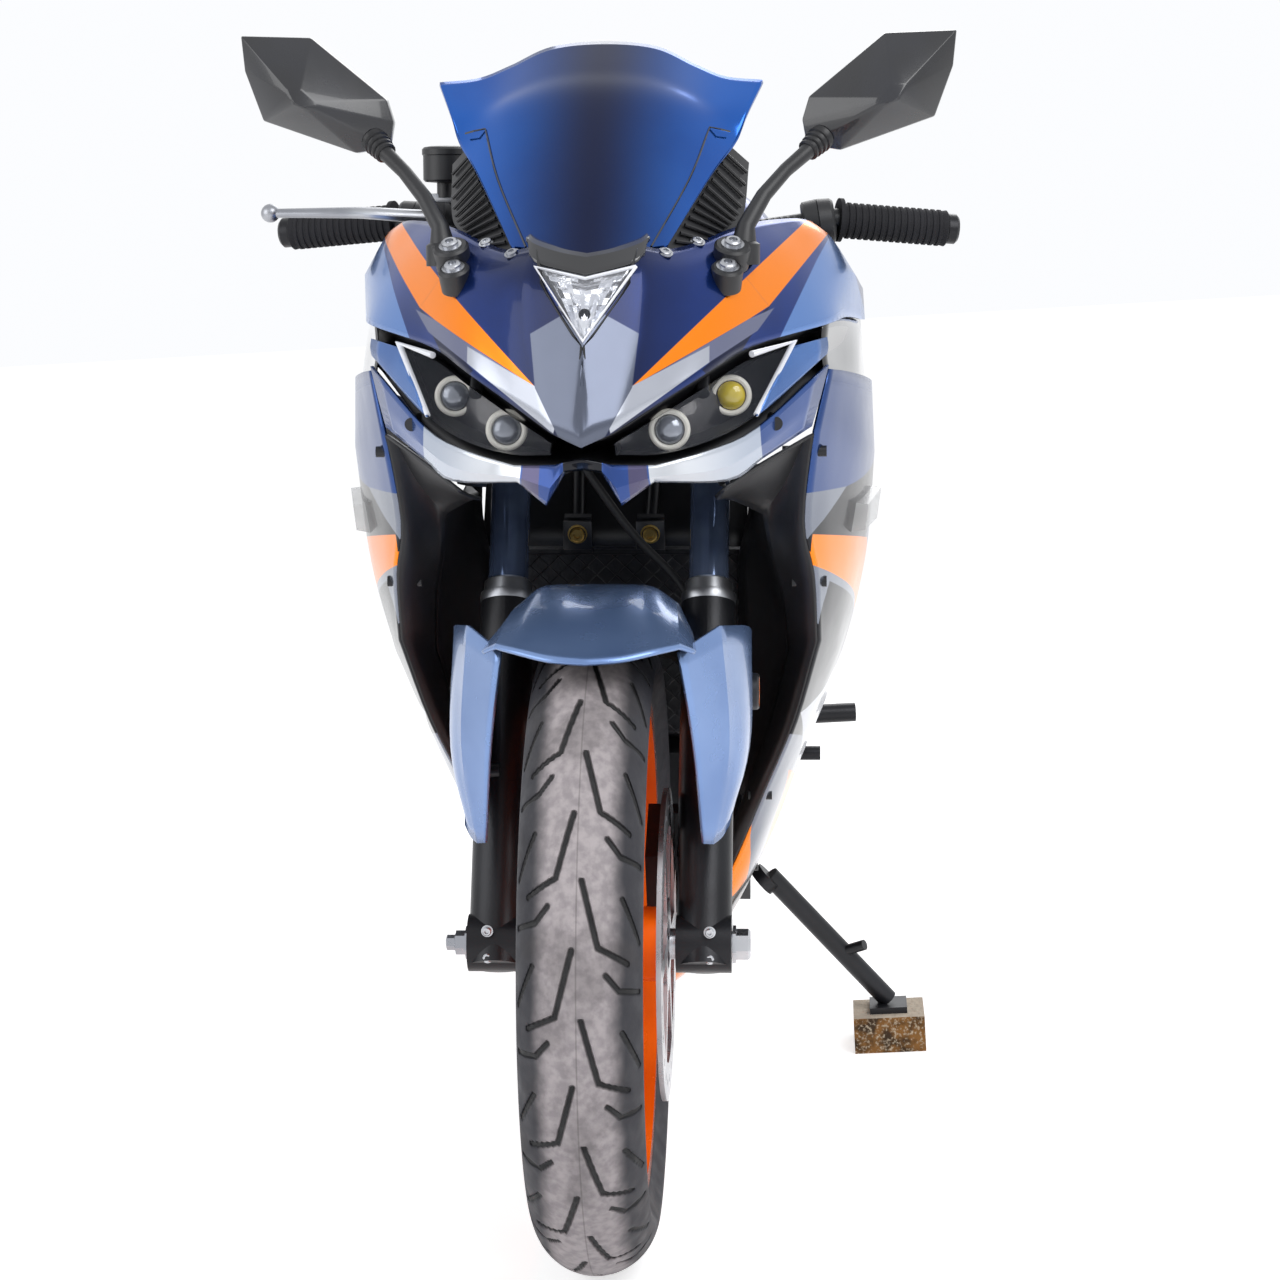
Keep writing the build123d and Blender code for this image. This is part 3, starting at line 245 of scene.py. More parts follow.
    def bump(self, height: object, depth: float) -> None:
        """Give the main shader a bump.

        Args:
            height: The height's socket.
            depth: The bump's depth in metres.
        """
        node = self.add("ShaderNodeBump", Height=height, Strength=1.0, Distance=depth)
        self.links.new(node.outputs[0], self.shader.inputs["Normal"])


@dataclass(frozen=True)
class Finish:
    """A surface's look: its colour, gloss and grain."""

    name: str
    colour: Point
    second: Point | None = None
    blotch: float = 14.0
    metallic: float = 0.0
    roughness: float = 0.4
    spread: float = 0.1
    grain: float = 600.0
    depth: float = 0.00005
    coat: float = 0.0
    specular: float = 0.5

    @property
    def key(self) -> str:
        """The material's name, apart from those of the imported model."""
        return f"look_{self.name}"

    def base(self, graph: Graph) -> bpy.types.NodeSocket:
        """The colour over the surface.

        Args:
            graph: The material's nodes.

        Returns:
            The colour's socket.
        """
        second = self.second or tuple(channel * 0.82 for channel in self.colour)
        return graph.mix(graph.ramp(graph.noise(self.blotch), 0.35, 0.7), self.colour, second)

    def relief(self, graph: Graph) -> None:
        """Add the fine relief of the surface.

        Args:
            graph: The material's nodes.
        """
        if self.depth:
            graph.bump(graph.noise(self.grain, 4.0), self.depth)

    def build(self) -> bpy.types.Material:
        """Make the material once.

        Returns:
            The material.
        """
        found = bpy.data.materials.get(self.key)
        if found:
            return found
        graph = Graph(self.key)
        graph.put(graph.shader.inputs["Base Color"], self.base(graph))
        rough = graph.noise(self.blotch * 3)
        low, high = max(0.02, self.roughness - self.spread / 2), self.roughness + self.spread / 2
        span = graph.add("ShaderNodeMapRange", Value=rough, To_Min=low, To_Max=high)
        graph.put(graph.shader.inputs["Roughness"], span.outputs[0])
        graph.shader.inputs["Metallic"].default_value = self.metallic
        graph.shader.inputs["Coat Weight"].default_value = self.coat
        graph.shader.inputs["Coat Roughness"].default_value = 0.04
        graph.shader.inputs["Specular IOR Level"].default_value = self.specular
        self.relief(graph)
        return graph.material


@dataclass(frozen=True)
class Zone:
    """A painted area: its outline, its colour and the side from which it is drawn."""

    corners: tuple
    colour: Point
    view: View = View.FRONT
    fade: Point | None = None
    fade_from: float = 0.0
    fade_to: float = 1.0


@dataclass(frozen=True)
class Livery(Finish):
    """Glossy paint with painted areas laid over it in order, and a painted shade that darkens it towards the middle in
    place of its reflections.
    """

    zones: tuple[Zone, ...] = ()
    # The shade colour darkens the paint towards the middle: painted shade standing in for the reflections on the gloss,
    # not a colour of the paint.
    painted_shade: Point | None = None
    painted_shade_from: float = 0.0
    painted_shade_to: float = 0.1

    def base(self, graph: Graph) -> bpy.types.NodeSocket:
        """The paint, its painted shade towards the middle and its areas.

        Args:
            graph: The material's nodes.

        Returns:
            The colour's socket.
        """
        colour = graph.mix(graph.ramp(graph.noise(9.0), 0.3, 0.75), self.colour, self.second or self.colour)
        place = graph.upright()
        # Painted shade: darker towards the middle, in place of the reflections on the gloss.
        if self.painted_shade:
            colour = graph.mix(graph.ramp(place["out"], self.painted_shade_from, self.painted_shade_to), self.painted_shade, colour)
        for zone in self.zones:
            paint: object = zone.colour
            if zone.fade:
                along = place["out"] if zone.view is View.FRONT else place["x"]
                paint = graph.mix(graph.ramp(along, zone.fade_from, zone.fade_to), zone.colour, zone.fade)
            colour = graph.mix(graph.zone(zone.corners, zone.view), colour, paint)
        fleck = graph.noise(2600.0, 1.0)
        return graph.mix(graph.math("MULTIPLY", graph.ramp(fleck, 0.5, 0.8), 0.015), colour, (0.6, 0.7, 0.85))


@dataclass(frozen=True)
class Clear(Finish):
    """Clear or tinted plastic that light passes through."""

    cover: float = 0.12

    def build(self) -> bpy.types.Material:
        """Make the material once.

        Returns:
            The material.
        """
        known = bpy.data.materials.get(self.key)
        material = super().build()
        if known is None:
            shader = material.node_tree.nodes["Principled BSDF"]
            shader.inputs["Alpha"].default_value = self.cover
        return material


@dataclass(frozen=True)
class Glow(Finish):
    """A pale plastic that carries a little light of its own."""

    glow: float = 0.3

    def build(self) -> bpy.types.Material:
        """Make the material once.

        Returns:
            The material.
        """
        material = super().build()
        shader = material.node_tree.nodes["Principled BSDF"]
        shader.inputs["Emission Color"].default_value = (*self.colour, 1.0)
        shader.inputs["Emission Strength"].default_value = self.glow
        return material


@dataclass(frozen=True)
class Brushed(Finish):
    """Metal with fine lines along one direction."""

    stretch: Point = (1.0, 30.0, 1.0)

    def relief(self, graph: Graph) -> None:
        """Add the brush lines.

        Args:
            graph: The material's nodes.
        """
        coords = graph.add("ShaderNodeTexCoord").outputs["Object"]
        mapped = graph.add("ShaderNodeMapping", Vector=coords, Scale=self.stretch)
        graph.bump(graph.noise(60.0, 6.0, mapped.outputs[0]), self.depth)


@dataclass(frozen=True)
class Tread(Finish):
    """A road tyre: dusty crown, smooth walls and slanting grooves, drawn on its own map."""

    pitches: int = 16
    stretch: float = 1.4
    width: float = 0.020
    grooves: tuple = (
        ((0.02, 0.525), (0.50, 0.615)), ((0.50, 0.615), (0.62, 0.80)),
        ((0.52, 0.475), (1.00, 0.385)), ((1.00, 0.385), (1.12, 0.20)),
        ((0.14, 0.76), (0.46, 0.90)), ((0.64, 0.24), (0.96, 0.10)),
        ((0.70, 0.66), (0.82, 0.74)), ((0.82, 0.74), (0.85, 0.90)),
        ((0.20, 0.34), (0.32, 0.26)), ((0.32, 0.26), (0.35, 0.10)),
    )

    def strokes(self, graph: Graph, along: object, across: object) -> bpy.types.NodeSocket:
        """How near a point lies to the nearest groove.

        Args:
            graph: The material's nodes.
            along: The share of one pitch round the tyre.
            across: The share across the tread.

        Returns:
            The distance's socket.
        """
        nearest = None
        for (x0, y0), (x1, y1) in self.grooves:
            dx, dy = x1 - x0, (y1 - y0) * self.stretch
            square = dx * dx + dy * dy
            for turn in (0.0, 1.0):
                if turn and x1 <= 1.0:
                    continue
                px = graph.math("SUBTRACT", graph.math("ADD", along, turn), x0)
                py = graph.math("MULTIPLY", graph.math("SUBTRACT", across, y0), self.stretch)
                dot = graph.math("ADD", graph.math("MULTIPLY", px, dx / square), graph.math("MULTIPLY", py, dy / square))
                dot = graph.math("MINIMUM", graph.math("MAXIMUM", dot, 0.0), 1.0)
                ex = graph.math("SUBTRACT", px, graph.math("MULTIPLY", dot, dx))
                ey = graph.math("SUBTRACT", py, graph.math("MULTIPLY", dot, dy))
                gap = graph.math("SQRT", graph.math("ADD", graph.math("MULTIPLY", ex, ex), graph.math("MULTIPLY", ey, ey)))
                nearest = gap if nearest is None else graph.math("MINIMUM", nearest, gap)
        return nearest

    def build(self) -> bpy.types.Material:
        """Make the material once.

        Returns:
            The material.
        """
        found = bpy.data.materials.get(self.key)
        if found:
            return found
        graph = Graph(self.key)
        split = graph.add("ShaderNodeSeparateXYZ", Vector=graph.add("ShaderNodeUVMap", uv_map="wrap").outputs[0])
        along = graph.math("FRACT", graph.math("MULTIPLY", split.outputs[0], float(self.pitches)))
        across = split.outputs[1]
        off_middle = graph.math("ABSOLUTE", graph.math("SUBTRACT", across, 0.5))
        tread = graph.math("SUBTRACT", 1.0, graph.ramp(off_middle, 0.455, 0.47))
        cut = graph.math("SUBTRACT", 1.0, graph.ramp(self.strokes(graph, along, across), self.width * 0.6, self.width * 1.5))
        cut = graph.math("MULTIPLY", cut, tread)
        dust = graph.math("SUBTRACT", 1.0, graph.ramp(graph.math("ADD", off_middle, graph.math("MULTIPLY", graph.noise(26.0), 0.1)), 0.2, 0.33))
        crown = graph.mix(graph.ramp(graph.noise(120.0), 0.3, 0.7), rgb(150, 143, 146), rgb(178, 170, 172))
        colour = graph.mix(graph.math("MULTIPLY", dust, tread), self.colour, crown)
        streak = graph.ramp(graph.noise(16.0, 5.0), 0.52, 0.66)
        colour = graph.mix(graph.math("MULTIPLY", streak, 0.35), colour, (0.05, 0.045, 0.045))
        seam = graph.math("SUBTRACT", 1.0, graph.ramp(off_middle, 0.002, 0.006))
        colour = graph.mix(graph.math("MULTIPLY", seam, 0.35), colour, (0.05, 0.045, 0.04))
        # The grooves are also cut into the mesh; their near-black colour, darker than the rubber, is painted shade in
        # the grooves.
        graph.put(graph.shader.inputs["Base Color"], graph.mix(cut, colour, (0.006, 0.006, 0.007)))
        graph.put(graph.shader.inputs["Roughness"], graph.ramp(graph.noise(50.0), -0.9, 1.3))
        height = graph.math("SUBTRACT", graph.math("MULTIPLY", graph.noise(700.0, 3.0), 0.05), cut)
        graph.bump(height, 0.003)
        return graph.material


@dataclass(frozen=True)
class Hide(Finish):
    """Grained vinyl, as on a seat."""

    def relief(self, graph: Graph) -> None:
        """Add the leather grain.

        Args:
            graph: The material's nodes.
        """
        coords = graph.add("ShaderNodeTexCoord").outputs["Object"]
        cells = graph.add("ShaderNodeTexVoronoi", Vector=coords, Scale=420.0)
        cells.feature = "DISTANCE_TO_EDGE"
        graph.bump(graph.ramp(cells.outputs[0], 0.0, 0.18), 0.0003)


@dataclass(frozen=True)
class Rock(Finish):
    """A rough broken block, paler on its upward faces."""

    def base(self, graph: Graph) -> bpy.types.NodeSocket:
        """The paler upward faces and the brown, pitted sides.

        Args:
            graph: The material's nodes.

        Returns:
            The colour's socket.
        """
        facing = graph.add("ShaderNodeNewGeometry").outputs["Normal"]
        up = graph.add("ShaderNodeSeparateXYZ", Vector=facing).outputs[2]
        patches = graph.mix(graph.ramp(graph.noise(55.0, 8.0), 0.38, 0.62), self.colour, self.second)
        grit = graph.mix(graph.ramp(graph.noise(300.0, 6.0), 0.5, 0.7), patches, (0.62, 0.52, 0.38))
        return graph.mix(graph.ramp(up, 0.5, 0.8), grit, (0.6, 0.52, 0.42))

    def relief(self, graph: Graph) -> None:
        """Add the pits.

        Args:
            graph: The material's nodes.
        """
        graph.bump(graph.noise(90.0, 9.0), 0.006)


JOINTS = {joint["name"]: joint for joint in frame["joints"]}
STANCE = Stance(hub_place=tuple(JOINTS["rear_wheel_spin"]["pos_m"]))


def rgb(red: int, green: int, blue: int) -> Point:
    """A colour as it looks on a screen, made linear.

    Args:
        red: Red, 0 to 255.
        green: Green, 0 to 255.
        blue: Blue, 0 to 255.

    Returns:
        The linear colour.
    """
    return tuple((v / 255 / 12.92) if v <= 10 else ((v / 255 + 0.055) / 1.055) ** 2.4 for v in (red, green, blue))


BLACK_PLASTIC = Finish("moulded_black", rgb(30, 31, 34), rgb(22, 22, 25), roughness=0.42, grain=900, depth=0.00006)
GLOSS_BLACK = Finish("gloss_black", rgb(12, 13, 17), rgb(20, 22, 28), roughness=0.12, coat=1.0, depth=0.0)
STEEL = Brushed("bright_steel", rgb(196, 198, 202), rgb(160, 162, 168), metallic=1.0, roughness=0.28, depth=0.00003)
CHROME = Finish("hard_chrome", rgb(132, 150, 184), rgb(96, 114, 150), metallic=0.7, roughness=0.12, spread=0.05, depth=0.00001)
BLACK_STEEL = Finish("black_steel", rgb(34, 35, 40), rgb(24, 25, 28), metallic=0.3, roughness=0.38, grain=500)
FRAME_BLACK = Finish("frame_paint", rgb(30, 31, 35), rgb(20, 20, 24), roughness=0.3, coat=0.5, grain=300)
ENGINE_GREY = Finish("cast_grey", rgb(66, 68, 72), rgb(48, 49, 53), metallic=0.6, roughness=0.5, grain=420, depth=0.0003)
ALLOY = Brushed("machined_alloy", rgb(178, 180, 184), rgb(142, 144, 150), metallic=1.0, roughness=0.34, depth=0.00004)
ALLOY_BLACK = Finish("black_alloy", rgb(34, 35, 39), rgb(24, 24, 28), metallic=0.5, roughness=0.36, grain=420, depth=0.00015)
EXHAUST_STEEL = Brushed("heated_steel", rgb(172, 158, 140), rgb(120, 106, 100), metallic=1.0, roughness=0.3, depth=0.00004)
EXHAUST_BLACK = Finish("silencer_black", rgb(36, 36, 38), rgb(26, 26, 28), metallic=0.4, roughness=0.5, grain=700, depth=0.0001)
GRIP_RUBBER = Finish("grip_rubber", rgb(38, 38, 42), rgb(28, 28, 31), roughness=0.75, grain=800, depth=0.0002, specular=0.3)
HOSE_RUBBER = Finish("hose_rubber", rgb(24, 24, 26), rgb(34, 34, 36), roughness=0.55, grain=700, depth=0.00008)
TYRE_RUBBER = Tread("tyre_rubber", rgb(44, 44, 50), rgb(34, 34, 38))
ORANGE_ALLOY = Finish("orange_alloy", rgb(255, 112, 14), rgb(240, 96, 8), metallic=0.1, roughness=0.26, coat=0.8, depth=0.0)
RED_LENS = Clear("red_lens", rgb(200, 20, 16), rgb(170, 10, 10), roughness=0.08, depth=0.0, cover=0.85)
CLEAR_LENS = Clear("clear_lens", rgb(246, 248, 252), rgb(238, 242, 248), roughness=0.03, spread=0.02, depth=0.0, cover=0.1)
LAMP_GLASS = Clear("lamp_glass", rgb(150, 156, 170), rgb(140, 146, 160), roughness=0.03, spread=0.02, depth=0.0, cover=0.035)
SMOKED_LENS = Clear("indicator_lens", rgb(226, 228, 230), rgb(206, 206, 206), roughness=0.1, depth=0.0, cover=0.45)
AMBER = Finish("amber_reflector", rgb(232, 128, 30), rgb(214, 104, 18), roughness=0.15, coat=1.0, grain=900, depth=0.0004)
YELLOW_GLASS = Finish("yellow_glass", rgb(226, 206, 40), rgb(190, 160, 20), roughness=0.08, coat=1.0, depth=0.0)
GREY_GLASS = Finish("clear_bulb", rgb(140, 146, 158), rgb(92, 98, 110), metallic=0.4, roughness=0.08, coat=1.0, depth=0.0)
HALO = Glow("pale_ring", rgb(222, 220, 212), rgb(200, 198, 192), roughness=0.3, depth=0.0, glow=0.12)
WHITE_GUIDE = Glow("white_light_guide", rgb(232, 234, 240), rgb(214, 216, 224), roughness=0.2, depth=0.0, glow=0.2)
REFLECTOR = Glow("lamp_reflector", rgb(226, 228, 234), rgb(176, 180, 190), metallic=0.8, roughness=0.14, grain=300, depth=0.0006, glow=0.12)
LAMP_BOWL = Finish("lamp_bowl", rgb(22, 21, 27), rgb(38, 34, 40), blotch=60, metallic=0.3, roughness=0.3, coat=0.6, grain=200, depth=0.0004)
MIRROR_BLACK = Finish("mirror_shell", rgb(24, 26, 34), rgb(16, 17, 22), roughness=0.26, coat=0.5, grain=900, depth=0.00003)
MIRROR_GLASS = Finish("mirror_glass", rgb(190, 196, 204), rgb(182, 188, 198), metallic=1.0, roughness=0.03, spread=0.02, depth=0.0)
BRASS = Finish("brass_bolt", rgb(176, 148, 84), rgb(140, 112, 60), metallic=1.0, roughness=0.35, depth=0.00005)
RADIATOR_BLACK = Finish("radiator_core", rgb(26, 28, 34), rgb(18, 19, 24), metallic=0.4, roughness=0.5, grain=300, depth=0.0006)
SEAT_HIDE = Hide("seat_vinyl", rgb(30, 30, 33), rgb(23, 23, 26), roughness=0.6)
STONE = Rock("broken_stone", rgb(150, 108, 62), rgb(74, 58, 44), roughness=0.9, spread=0.05, specular=0.2)
CHAIN_STEEL = Finish("chain_plate", rgb(120, 112, 96), rgb(84, 78, 70), metallic=1.0, roughness=0.4, grain=900)

ORANGE = (1.0, 0.25, 0.0)
SILVER = rgb(176, 180, 190)
WHITE = rgb(206, 210, 216)
LAVENDER = rgb(112, 116, 142)
NAVY = rgb(5, 18, 56)
BLUE = rgb(14, 52, 128)
SKY = rgb(96, 134, 196)
STEEL_BLUE = rgb(96, 122, 168)

NOSE_PAINT = Livery(
    "nose_paint", BLUE, rgb(16, 42, 100), metallic=0.75, roughness=0.24, coat=0.35, depth=0.0, specular=0.3,
    # Painted shade: the nose turns navy towards the middle in place of the reflections on it.
    painted_shade=NAVY, painted_shade_from=0.02, painted_shade_to=0.12,
    zones=(
        Zone(((206, 932), (226, 910), (242, 850), (204, 846), (158, 842), (195, 909)), SKY),
        Zone(((200, 941), (208, 934), (158, 840), (104, 812), (98, 818), (156, 872)), NAVY),
        Zone(((200, 958), (134, 895), (153.6, 869.8), (208, 936)), ORANGE),
        Zone(((134, 895), (41, 806), (136.7, 859.3), (153.6, 869.8)), ORANGE),
        Zone(((158, 868), (144, 849), (104, 824), (39, 804), (136.7, 859.3)), LAVENDER),
        Zone(((104, 838), (104, 824), (24, 768), (22, 776), (38, 805)), SILVER),
        # The beak is silver, painted darker here in place of the dark reflections on it: partly its own colour, partly
        # painted reflection.
        Zone(((-5, 842), (18, 866), (46, 850), (41, 805), (20, 766), (-5, 748)), rgb(86, 92, 108)),
    ),
)
COVER_PAINT = Livery(
    "lamp_cover_paint", rgb(84, 122, 184), rgb(60, 96, 158), metallic=0.7, roughness=0.22, coat=0.35, depth=0.0, specular=0.3,
)
CHIN_PAINT = Livery(
    "chin_paint", rgb(48, 84, 150), rgb(38, 70, 134), metallic=0.6, roughness=0.24, coat=0.35, depth=0.0, specular=0.3,
    zones=(
        Zone(((58, 700), (50, 775), (146, 775), (150, 712)), WHITE, fade=rgb(176, 186, 202), fade_from=0.08, fade_to=0.15),
        Zone(((40, 690), (36, 760), (50, 760), (58, 690)), rgb(76, 72, 104)),
        Zone(((17, 690), (17, 760), (36, 760), (40, 690)), rgb(34, 66, 132)),
        Zone(((-1, 700), (-1, 760), (17, 760), (15, 700)), rgb(8, 10, 20)),
    ),
)
SCREEN_PAINT = Livery(
    "screen_tint", rgb(36, 96, 184), rgb(28, 82, 166), metallic=0.85, roughness=0.14, coat=0.3, depth=0.0, specular=0.3,
    # Painted shade: the screen turns dark towards the middle in place of the reflections on it.
    painted_shade=rgb(4, 20, 60), painted_shade_from=0.0, painted_shade_to=0.115,
)
SIDE_PAINT = Livery(
    "flank_paint", rgb(134, 140, 152), rgb(112, 118, 132), metallic=0.7, roughness=0.24, coat=0.35, depth=0.0, specular=0.3,
    zones=(
        Zone(((700, 700), (700, 860), (180, 800), (120, 700)), rgb(40, 70, 128), View.SIDE),
        Zone(((640, 640), (560, 700), (360, 720), (440, 640)), rgb(14, 16, 22), View.SIDE),
        Zone(((610, 660), (610, 612), (330, 560), (100, 500), (140, 520), (420, 640)), ORANGE, View.SIDE),
        Zone(((560, 612), (560, 470), (330, 430), (60, 430), (60, 480), (330, 556)), rgb(18, 20, 26), View.SIDE),
        Zone(((560, 470), (500, 480), (400, 430), (-40, 400), (-40, 372), (420, 400)), rgb(190, 194, 202), View.SIDE),
        Zone(((520, 470), (470, 400), (350, 290), (-40, 300), (-40, 330), (420, 412)), ORANGE, View.SIDE),
        Zone(((471, 401), (430, 300), (372, 250), (330, 270), (350, 290)), ORANGE, View.SIDE),
        Zone(((372, 250), (350, 290), (-40, 300), (-40, 190), (370, 190)), rgb(18, 20, 26), View.SIDE),
    ),
)
FENDER_PAINT = Livery(
    "fender_paint", rgb(124, 152, 200), rgb(104, 132, 182), metallic=0.6, roughness=0.26, coat=0.35, depth=0.0, specular=0.3,
)
BELLY_PAINT = Livery(
    "belly_paint", rgb(24, 26, 32), rgb(18, 20, 24), metallic=0.3, roughness=0.24, coat=0.35, depth=0.0,
    zones=(Zone(((372, 120), (372, 260), (290, 260), (250, 120)), ORANGE, View.SIDE),),
)
TANK_PAINT = Livery("tank_paint", BLUE, rgb(16, 42, 100), metallic=0.75, roughness=0.22, coat=0.35, depth=0.0, specular=0.3)
TAIL_PAINT = Livery(
    "tail_paint", BLUE, rgb(16, 42, 100), metallic=0.75, roughness=0.22, coat=0.35, depth=0.0, specular=0.3,
    zones=(Zone(((-430, 800), (-860, 880), (-860, 862), (-430, 770)), ORANGE, View.SIDE),),
)


def between(before: Point, start: Point, end: Point, after: Point, share: float) -> Vector:
    """A point of the smooth curve from start to end.

    Args:
        before: The point before the start.
        start: The span's start.
        end: The span's end.
        after: The point after the end.
        share: How far along the span.

    Returns:
        The point.
    """
    a, b, c, d = (Vector(point) for point in (before, start, end, after))
    t = share
    return 0.5 * (2 * b + (c - a) * t + (2 * a - 5 * b + 4 * c - d) * t * t + (3 * b - a - 3 * c + d) * t**3)


def along(points: list, at: float, breaks: tuple[int, ...] = ()) -> Vector:
    """A point of the smooth curve through a list of points.

    Args:
        points: The curve's points.
        at: The place on the curve, counted in points.
        breaks: Points at which the curve folds.

    Returns:
        The point.
    """
    first = min(max(int(floor(at + 1e-9)), 0), len(points) - 2)
    start, end = Vector(points[first]), Vector(points[first + 1])
    before = Vector(points[first - 1]) if first > 0 and first not in breaks else 2 * start - end
    last = first + 2 < len(points) and first + 1 not in breaks
    after = Vector(points[first + 2]) if last else 2 * end - start
    return between(before, start, end, after, min(max(at - first, 0.0), 1.0))


def flipped(grid: Grid) -> Grid:
    """The other side's points of a grid."""
    return [[(x, -y, z) for x, y, z in row] for row in grid]


class Shape:
    """A mesh being made, in upright millimetres."""

    def __init__(self) -> None:
        """Start an empty mesh."""
        self.bm = bmesh.new()

    def surface(self, rows: Grid, fine: int = 5, creases: tuple[int, ...] = (), folds: tuple[int, ...] = ()) -> list:
        """Add a smooth sheet through rows of points.

        Args:
            rows: The rows, each as long as the others.
            fine: How many faces lie between two points.
            creases: Rows at which the sheet folds.
            folds: Columns at which the sheet folds.

        Returns:
            The new vertices.
        """
        tall, wide = len(rows) - 1, len(rows[0]) - 1
        made = bmesh.ops.create_grid(self.bm, x_segments=wide * fine, y_segments=tall * fine, size=1.0)["verts"]
        for vert in made:
            across, down = (vert.co.x + 1) / 2 * wide, (vert.co.y + 1) / 2 * tall
            vert.co = along([along(row, across, folds) for row in rows], down, creases)
        return made

    def mirror(self) -> None:
        """Add the right-hand half and close the middle."""
        bmesh.ops.mirror(self.bm, geom=self.bm.verts[:] + self.bm.edges[:] + self.bm.faces[:], axis="Y", merge_dist=0.05)

    def turned(self, profile: list[tuple[float, float]], origin: Point, axis: Point, steps: int = 32) -> list:
        """Add a turned shape.

        Args:
            profile: Pairs of distance along the axis and radius.
            origin: Where the distances start.
            axis: The axis.
            steps: The number of faces round.

        Returns:
            The new faces.
        """
        known = set(self.bm.faces)
        run = Vector(axis).normalized()
        side = run.orthogonal().normalized()
        verts = [self.bm.verts.new(Vector(origin) + run * distance + side * radius) for distance, radius in profile]
        edges = [self.bm.edges.new(pair) for pair in zip(verts, verts[1:])]
        bmesh.ops.spin(self.bm, geom=verts + edges, cent=origin, axis=run, angle=2 * pi, steps=steps, use_merge=True)
        return [face for face in self.bm.faces if face not in known]

    def swept(self, path: list, radii: list[float], sides: int = 12, squash: float = 1.0) -> list:
        """Add a round bar along a path.

        Args:
            path: The points of the bar's middle.
            radii: The radius at each point.
            sides: The number of faces round.
            squash: The section's height as a share of its width.

        Returns:
            The new faces.
        """
        known = set(self.bm.faces)
        points = [Vector(point) for point in path]
        runs = [(after - before).normalized() for before, after in zip(points, points[1:])]
        heads = [runs[0]] + [(a + b).normalized() for a, b in zip(runs, runs[1:])] + [runs[-1]]
        ring = bmesh.ops.create_circle(self.bm, cap_ends=False, radius=1.0, segments=sides)["verts"]
        unit = [vert.co.copy() for vert in ring]
        turn = Vector((0, 0, 1)).rotation_difference(heads[0])
        rings = []
        for at, point in enumerate(points):
            if at:
                edges = [edge for edge in {e for v in ring for e in v.link_edges} if all(v in ring for v in edge.verts)]
                fresh = {g for g in bmesh.ops.extrude_edge_only(self.bm, edges=edges)["geom"] if isinstance(g, bmesh.types.BMVert)}
                ring = [next(e.other_vert(v) for e in v.link_edges if e.other_vert(v) in fresh) for v in ring]
                turn = heads[at - 1].rotation_difference(heads[at]) @ turn
            for vert, place in zip(ring, unit):
                vert.co = point + turn @ Vector((place.x, place.y * squash, 0)) * radii[at]
            rings.append(ring)
        self.bm.faces.new(rings[0])
        self.bm.faces.new(rings[-1])
        return [face for face in self.bm.faces if face not in known]

    def block(self, outline: list, depth: Point, bevel: float = 0.0, segments: int = 2) -> list:
        """Add a flat outline with a depth.

        Args:
            outline: The outline's points.
            depth: The way and distance to its other face.
            bevel: The width of its rounded edges.
            segments: The faces across a rounded edge.

        Returns:
            The new faces.
        """
        known = set(self.bm.faces)
        face = self.bm.faces.new([self.bm.verts.new(point) for point in outline])
        made = bmesh.ops.extrude_face_region(self.bm, geom=[face])["geom"]
        bmesh.ops.translate(self.bm, vec=depth, verts=[g for g in made if isinstance(g, bmesh.types.BMVert)])
        fresh = [f for f in self.bm.faces if f not in known]
        bmesh.ops.recalc_face_normals(self.bm, faces=fresh)
        if bevel:
            self.bevel(fresh, bevel, segments)
        return [f for f in self.bm.faces if f not in known]

    def bevel(self, faces: list, width: float, segments: int = 2, limit: float = 25.0) -> None:
        """Round the sharp edges of some faces.

        Args:
            faces: The faces.
            width: The width of the rounded edge.
            segments: The faces across it.
            limit: The smallest fold that is rounded, in degrees.
        """
        edges = [
            edge for edge in {e for f in faces for e in f.edges}
            if len(edge.link_faces) == 2 and edge.calc_face_angle() > radians(limit)
        ]
        bmesh.ops.bevel(
            self.bm, geom=edges, offset=width, offset_type="OFFSET", segments=segments, profile=0.5,
            affect="EDGES", clamp_overlap=True, material=-1,
        )

    def bolt(self, place: Point, axis: Point, radius: float = 4.0, tall: float = 3.0, sides: int = 6) -> list:
        """Add a bolt head with a washer and a socket.

        Args:
            place: The middle of the washer's seat.
            axis: The way it points.
            radius: The head's radius.
            tall: The head's height.
            sides: The faces round the socket; not used.

        Returns:
            The new faces.
        """
        profile = [(0, 0), (0, radius * 1.35), (0.8, radius * 1.35), (0.9, radius), (tall * 0.8, radius), (tall, radius * 0.8)]
        profile += [(tall, radius * 0.5), (tall * 0.45, radius * 0.45), (tall * 0.45, 0)]
        return self.turned(profile, place, axis, 18)

    def cut(self, point: Point, normal: Point) -> None:
        """Cut the mesh at a plane and keep the side that the normal leaves.

        Args:
            point: A point of the plane.
            normal: The plane's normal, towards what goes.
        """
        geom = self.bm.verts[:] + self.bm.edges[:] + self.bm.faces[:]
        bmesh.ops.bisect_plane(self.bm, geom=geom, plane_co=point, plane_no=normal, clear_outer=True)

    def paint(self, faces: list, slot: int) -> None:
        """Give some faces another of the piece's finishes."""
        for face in faces:
            face.material_index = slot

    def weld(self, distance: float = 0.05) -> None:
        """Merge doubles and turn the faces one way."""
        bmesh.ops.remove_doubles(self.bm, verts=self.bm.verts[:], dist=distance)
        bmesh.ops.dissolve_degenerate(self.bm, edges=self.bm.edges[:], dist=0.001)
        bmesh.ops.recalc_face_normals(self.bm, faces=self.bm.faces[:])

    def face_out(self, inside: Point) -> None:
        """Turn an open sheet's faces away from a point inside.

        Args:
            inside: The point.
        """
        middle = Vector(inside)
        if sum(f.calc_area() * f.normal.dot(f.calc_center_median() - middle) for f in self.bm.faces) < 0:
            bmesh.ops.reverse_faces(self.bm, faces=self.bm.faces[:])


